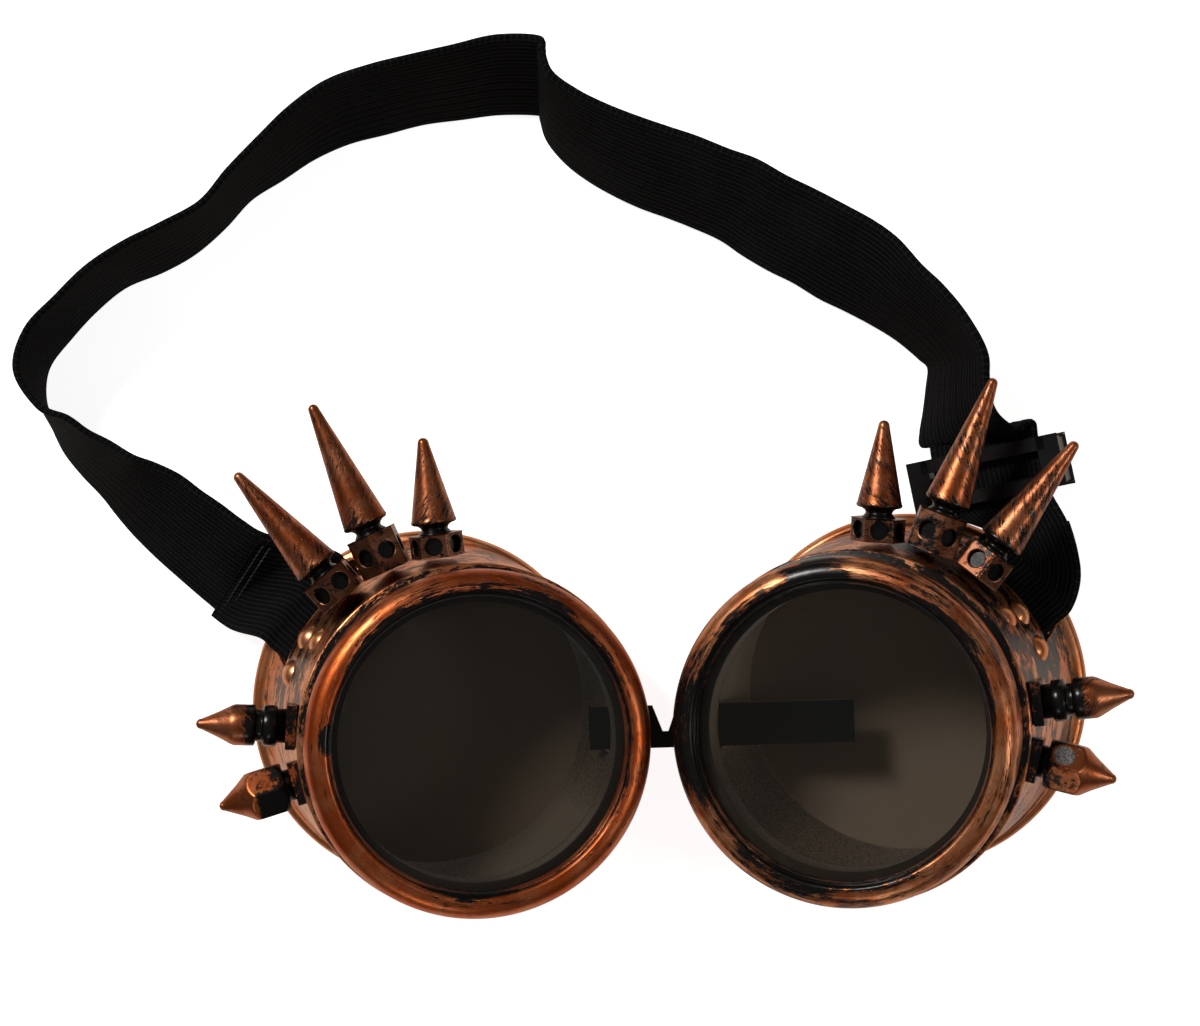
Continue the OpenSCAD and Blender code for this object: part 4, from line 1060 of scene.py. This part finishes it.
section = strap_section()
width_way = strap_edges[:, 1] - strap_edges[:, 0]
width_way /= np.linalg.norm(width_way, axis=1)[:, None]
strap_grid = (strap_middle[:, None] + width_way[:, None] * section[None, :, :1]
    + band_normals(strap_edges)[:, None] * section[None, :, 1:])
along = np.concatenate([[0], np.cumsum(np.linalg.norm(np.diff(strap_middle, axis=0), axis=1))])
strap = grid_piece("head_strap",
    [(strap_grid, False, True, True, along, np.append(section[:, 0], section[0, 0]))], FABRIC)
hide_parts("head_strap_left_run", "head_strap_right_run")
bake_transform(strap)

# %% [markdown]
# ## Small parts
# The lenses, gaskets, square plates and bridge strip have simple shapes that the CAD already
# holds, so they keep its meshes and only get their finish here. The smoked lens could be real
# glass with absorption, but a clear share of alpha is steadier: the inside of the cup shows
# through as dark as on the real lens.
# %% Thread, plastic, rubber and lens materials
def simple_finish(name, colour, rough, grain_scale, grain_depth, pale, spec):
    """One colour with grain: noise mixes in a paler tone, changes roughness and gives fine relief."""
    material, tree, skin = ready_material(name)
    place = millimetres(tree)
    grain = noise(tree, place, grain_scale, 5.0, 0.65)
    smear = band(tree, noise(tree, place, grain_scale * 0.08, 3.0, 0.6), 0.45, 0.75)
    tree.links.new(mix_colour(tree, smear, colour, pale), skin.inputs["Base Color"])
    tree.links.new(plus(tree, rough, times(tree, grain, 0.15)), skin.inputs["Roughness"])
    skin.inputs["Specular IOR Level"].default_value = spec
    add_relief(tree, skin, grain, 0.5, grain_depth)
    return material


def smoked_lens(name, alpha):
    """See-through smoke: alpha lets the inside show, with smears of dust and a cooler tint in places."""
    material, tree, skin = ready_material(name)
    place = millimetres(tree)
    cloud = band(tree, noise(tree, place, 0.035, 3.0, 0.5, 0.6), 0.35, 0.7)
    tree.links.new(mix_colour(tree, cloud, (0.013, 0.010, 0.006), (0.008, 0.009, 0.007)),
        skin.inputs["Base Color"])
    dust = band(tree, noise(tree, place, 1.2, 4.0, 0.7), 0.7, 0.9)
    tree.links.new(plus(tree, 0.05, times(tree, dust, 0.3)), skin.inputs["Roughness"])
    skin.inputs["Alpha"].default_value = alpha
    skin.inputs["IOR"].default_value = 1.49
    material.surface_render_method = "BLENDED"
    return material


THREAD = simple_finish("black_thread", (0.02, 0.02, 0.021), 0.7, 6.0, 0.08, (0.05, 0.05, 0.05), 0.3)
RUBBER = simple_finish("black_rubber", (0.006, 0.006, 0.006), 0.55, 2.5, 0.03, (0.012, 0.012, 0.012), 0.25)
GASKET = simple_finish("brown_rubber", (0.075, 0.055, 0.040), 0.6, 2.5, 0.03, (0.11, 0.085, 0.06), 0.2)
PLASTIC = simple_finish("slider_plastic", (0.005, 0.005, 0.0055), 0.22, 1.5, 0.02, (0.012, 0.012, 0.012), 0.3)
node_finish = {"bridge_strip": RUBBER}
for word, alpha in (("left", 0.42), ("right", 0.34)):
    node_finish[f"{word}_lens"] = smoked_lens(f"{word}_smoked_lens", alpha)
    node_finish[f"{word}_lens_gasket"] = GASKET
    node_finish[f"{word}_ringed_stud_plate"] = PLATE_FINISH
    node_finish[f"{word}_hex_stud_plate"] = PLATE_FINISH
for name, material in node_finish.items():
    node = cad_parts[name]
    if not node.material_slots:
        node.data.materials.append(material)
    for slot in node.material_slots:
        slot.link = "OBJECT"
        slot.material = material
print("carried-over nodes dressed:", len(node_finish))

# %% [markdown]
# The slider is moulded in glossy plastic: two rails, two bars over the band and one under it.
# Boxes with a wide bevel give its soft moulded edges. The band has more room inside than in
# the CAD, and the outside of the slider stays as it is there.
# %% Slider
CAD_ROOM = 0.35
ROOM = 0.55
BAR_OVERLAP = 0.5  # the bars reach into the rails

inner, lift = STRAP_W / 2 + ROOM, STRAP_T / 2 + ROOM
outer, top = STRAP_W / 2 + CAD_ROOM + SLIDER_RAIL, STRAP_T / 2 + CAD_ROOM + SLIDER_T
end, bar_end = SLIDER_LENGTH / 2, inner + BAR_OVERLAP
half_bar, pitch = SLIDER_BAR / 2, SLIDER_BAR + SLIDER_SLOT
blocks = [((-outer, -end, -top), (-inner, end, top)), ((inner, -end, -top), (outer, end, top))]
blocks += [((-bar_end, s * pitch - half_bar, lift), (bar_end, s * pitch + half_bar, top)) for s in (-1, 1)]
blocks += [((-bar_end, -half_bar, -top), (bar_end, half_bar, -lift))]
slider_axes = np.array([SLIDER_X, SLIDER_Y, np.cross(SLIDER_X, SLIDER_Y)])
boxes = [prism(box_corners(low, high, slider_axes, SLIDER_AT)) for low, high in blocks]
slider = soft_edges(grid_piece("slider_detail", boxes, PLASTIC, smooth=False), 0.4, 4)
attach(slider, "slider")
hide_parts("strap_slider")

# %% [markdown]
# The seam at the sewn end is a double row of short thread loops. A bump map would do from
# afar, but real loops catch the light at the edge of the band, and a few dozen faces each
# are enough.
# %% Stitches of the sewn end
STITCHES = 19
STITCH_PITCH = 0.98
STITCH_LENGTH = 0.8
STITCH_RISE = 0.28
THREAD_R = 0.16


def stitch_loops():
    """Arches of thread across the seam: tubes round start + width t + normal rise sin(pi t)."""
    seam = even(left_main[SEWN:SEWN + 1])[0]
    out = left_main[SEWN:SEWN + 2].mean(1)
    forward = (out[1] - out[0]) / np.linalg.norm(out[1] - out[0])
    width = (seam[1] - seam[0]) / STRAP_W
    normal = np.cross(forward, width)
    normal /= np.linalg.norm(normal)
    if normal[2] < 0:
        normal = -normal
    t, a = np.linspace(0, 1, 9), np.linspace(0, 2 * math.pi, 9)[:-1]
    arch = (width * (t[:, None] * STITCH_LENGTH) + normal * (STITCH_RISE * np.sin(math.pi * t[:, None]))
        + forward * 0.15 * t[:, None])
    ring = (forward[None] * np.cos(a)[:, None] + normal[None] * np.sin(a)[:, None]) * THREAD_R
    grids = []
    for row, shift in ((0, 0.9), (1, 2.1)):
        for k in range(STITCHES):
            start = (seam[0] + width * (0.9 + k * STITCH_PITCH + 0.25 * row) + forward * shift
                + normal * (LAYER_GAP + STRAP_T / 2 - 0.05))
            grids.append(((start + arch)[:, None] + ring[None], False, True, True,
                t * STITCH_LENGTH, np.linspace(0, 1, 9)))
    return grids


stitches = grid_piece("seam_stitches", stitch_loops(), THREAD)
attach(stitches, "left_eyecup")
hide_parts("strap_stitching")

# %% [markdown]
# ## Table, light and camera
# The goggles lie on a white table and are photographed straight from above. More light would
# whiten the table but wash out the copper, so the table glows by itself, for the camera's
# direct look and more weakly for reflections. All other rays, also looks through the lenses,
# meet a darker warm paper, a painted shade that keeps the inside of the cups brown. Wide
# soft lamps give the long highlights on the rings.
# %% Table
TABLE_HALF = 3  # metres


def table_material():
    """White paper that glows for direct looks and, at about a third, for reflections; all other rays see a
    darker warm paper, a painted shade.
    """
    material, tree, skin = ready_material("white_table")
    path = tree.nodes.new("ShaderNodeLightPath")
    direct = times(tree, path.outputs["Is Camera Ray"],
        maths(tree, "LESS_THAN", path.outputs["Transparent Depth"], 0.5))
    # Painted shade: rays other than direct looks see a darker warm paper
    tree.links.new(mix_colour(tree, direct, (0.64, 0.50, 0.37), (0.86, 0.86, 0.86)),
        skin.inputs["Base Color"])
    skin.inputs["Roughness"].default_value = 0.9
    glow = tree.nodes.new("ShaderNodeEmission")
    glow.inputs["Color"].default_value = (1, 1, 1, 1)
    strength = plus(tree, times(tree, direct, 0.86), times(tree, path.outputs["Is Glossy Ray"], 0.36))
    tree.links.new(strength, glow.inputs["Strength"])
    both = tree.nodes.new("ShaderNodeAddShader")
    tree.links.new(skin.outputs[0], both.inputs[0])
    tree.links.new(glow.outputs[0], both.inputs[1])
    tree.links.new(both.outputs[0], tree.nodes["Material Output"].inputs["Surface"])
    return material


table_mesh = bpy.data.meshes.new("table_top")
table_mesh.from_pydata([(x * TABLE_HALF, y * TABLE_HALF, 0) for x, y in ((-1, -1), (1, -1), (1, 1), (-1, 1))],
    [], [(0, 1, 2, 3)])
table_mesh.materials.append(table_material())
table = bpy.data.objects.new("table_top", table_mesh)
bpy.context.scene.collection.objects.link(table)
print("table of", 2 * TABLE_HALF, "metres")

# %% Lamps and sky
def soft_lamp(name, place, target, size, watts, colour=(1, 1, 1)):
    """A square area lamp that looks at its target; places in metres."""
    light = bpy.data.lights.new(name, "AREA")
    light.shape = "SQUARE"
    light.size = size
    light.energy = watts
    light.color = colour
    lamp = bpy.data.objects.new(name, light)
    bpy.context.scene.collection.objects.link(lamp)
    lamp.location = place
    aim = np.array(target, float) - np.array(place, float)
    lean = math.atan2(math.hypot(aim[0], aim[1]), -aim[2])
    lamp.rotation_euler = (lean, 0, math.atan2(aim[0], -aim[1]) + math.pi)


soft_lamp("key_lamp", (-0.42, 0.46, 0.66), (0, -0.02, 0.02), 0.20, 5.2, (1.0, 0.97, 0.93))
soft_lamp("fill_lamp", (0.60, -0.15, 0.55), (0.03, -0.03, 0.02), 0.14, 0.75, (1.0, 0.96, 0.91))
soft_lamp("low_lamp", (-0.10, -0.75, 0.45), (0, -0.03, 0.02), 0.14, 0.35)
world = bpy.data.worlds.new("studio")
world.use_nodes = True
sky = world.node_tree
direction = sky.nodes.new("ShaderNodeTexCoord")
height = sky.nodes.new("ShaderNodeSeparateXYZ")
sky.links.new(direction.outputs["Generated"], height.inputs[0])
# Dark at the horizon and brighter overhead
sky.links.new(mix_colour(sky, band(sky, height.outputs["Z"], 0.05, 0.85), (0.025, 0.023, 0.022),
    (0.15, 0.15, 0.155)), sky.nodes["Background"].inputs["Color"])
sky.nodes["Background"].inputs["Strength"].default_value = 1.0
bpy.context.scene.world = world
bpy.context.scene.view_settings.view_transform = "Standard"
print("lamps:", {light.name: round(light.energy, 2) for light in bpy.data.lights})

# %% [markdown]
# The camera hangs nearly 380 mm over the table. Its height, lens, turn and shift could be
# tried by eye, but they follow more closely from where the cups, spikes and rims stand in the
# photograph: the pixel where the look point falls, and the point itself beside the bridge.
# %% Camera
PHOTO_W = 1200
PHOTO_H = 1026
CAMERA_HEIGHT = 378.20  # millimetres over the look point
FOCAL_PIXELS = 2077.9
LOOK_PIXEL = np.array([649.06, 451.37])
LOOK_OFFSET = np.array([3.308, -48.906, 0.0])
ROLL = 0.0355  # radians, as the two tilts
TILT_X = -0.0458
TILT_Y = -0.0455


def turn_matrix(axis, angle):
    """Rotation about one axis as a 3x3 array."""
    return np.array(mathutils.Matrix.Rotation(angle, 3, axis))


tilt = turn_matrix("X", TILT_X) @ turn_matrix("Y", TILT_Y)
to_camera = tilt @ turn_matrix("Z", ROLL)
camera_place = to_camera.T @ (np.array([0, 0, CAMERA_HEIGHT]) - tilt @ LOOK_OFFSET) - MIDDLE
lens = bpy.data.cameras.new("photo_camera")
lens.sensor_width = 36
lens.lens = FOCAL_PIXELS * 36 / PHOTO_W
lens.shift_x = (PHOTO_W / 2 - LOOK_PIXEL[0]) / PHOTO_W
lens.shift_y = (LOOK_PIXEL[1] - PHOTO_H / 2) / PHOTO_W
lens.clip_start = 0.01
lens.clip_end = 20
camera = bpy.data.objects.new("photo_camera", lens)
bpy.context.scene.collection.objects.link(camera)
camera.location = (camera_place * 0.001).tolist()
camera.rotation_euler = mathutils.Matrix(to_camera.T.tolist()).to_euler()
bpy.context.scene.camera = camera
print("camera above", camera.location[:], "lens", round(lens.lens, 2))
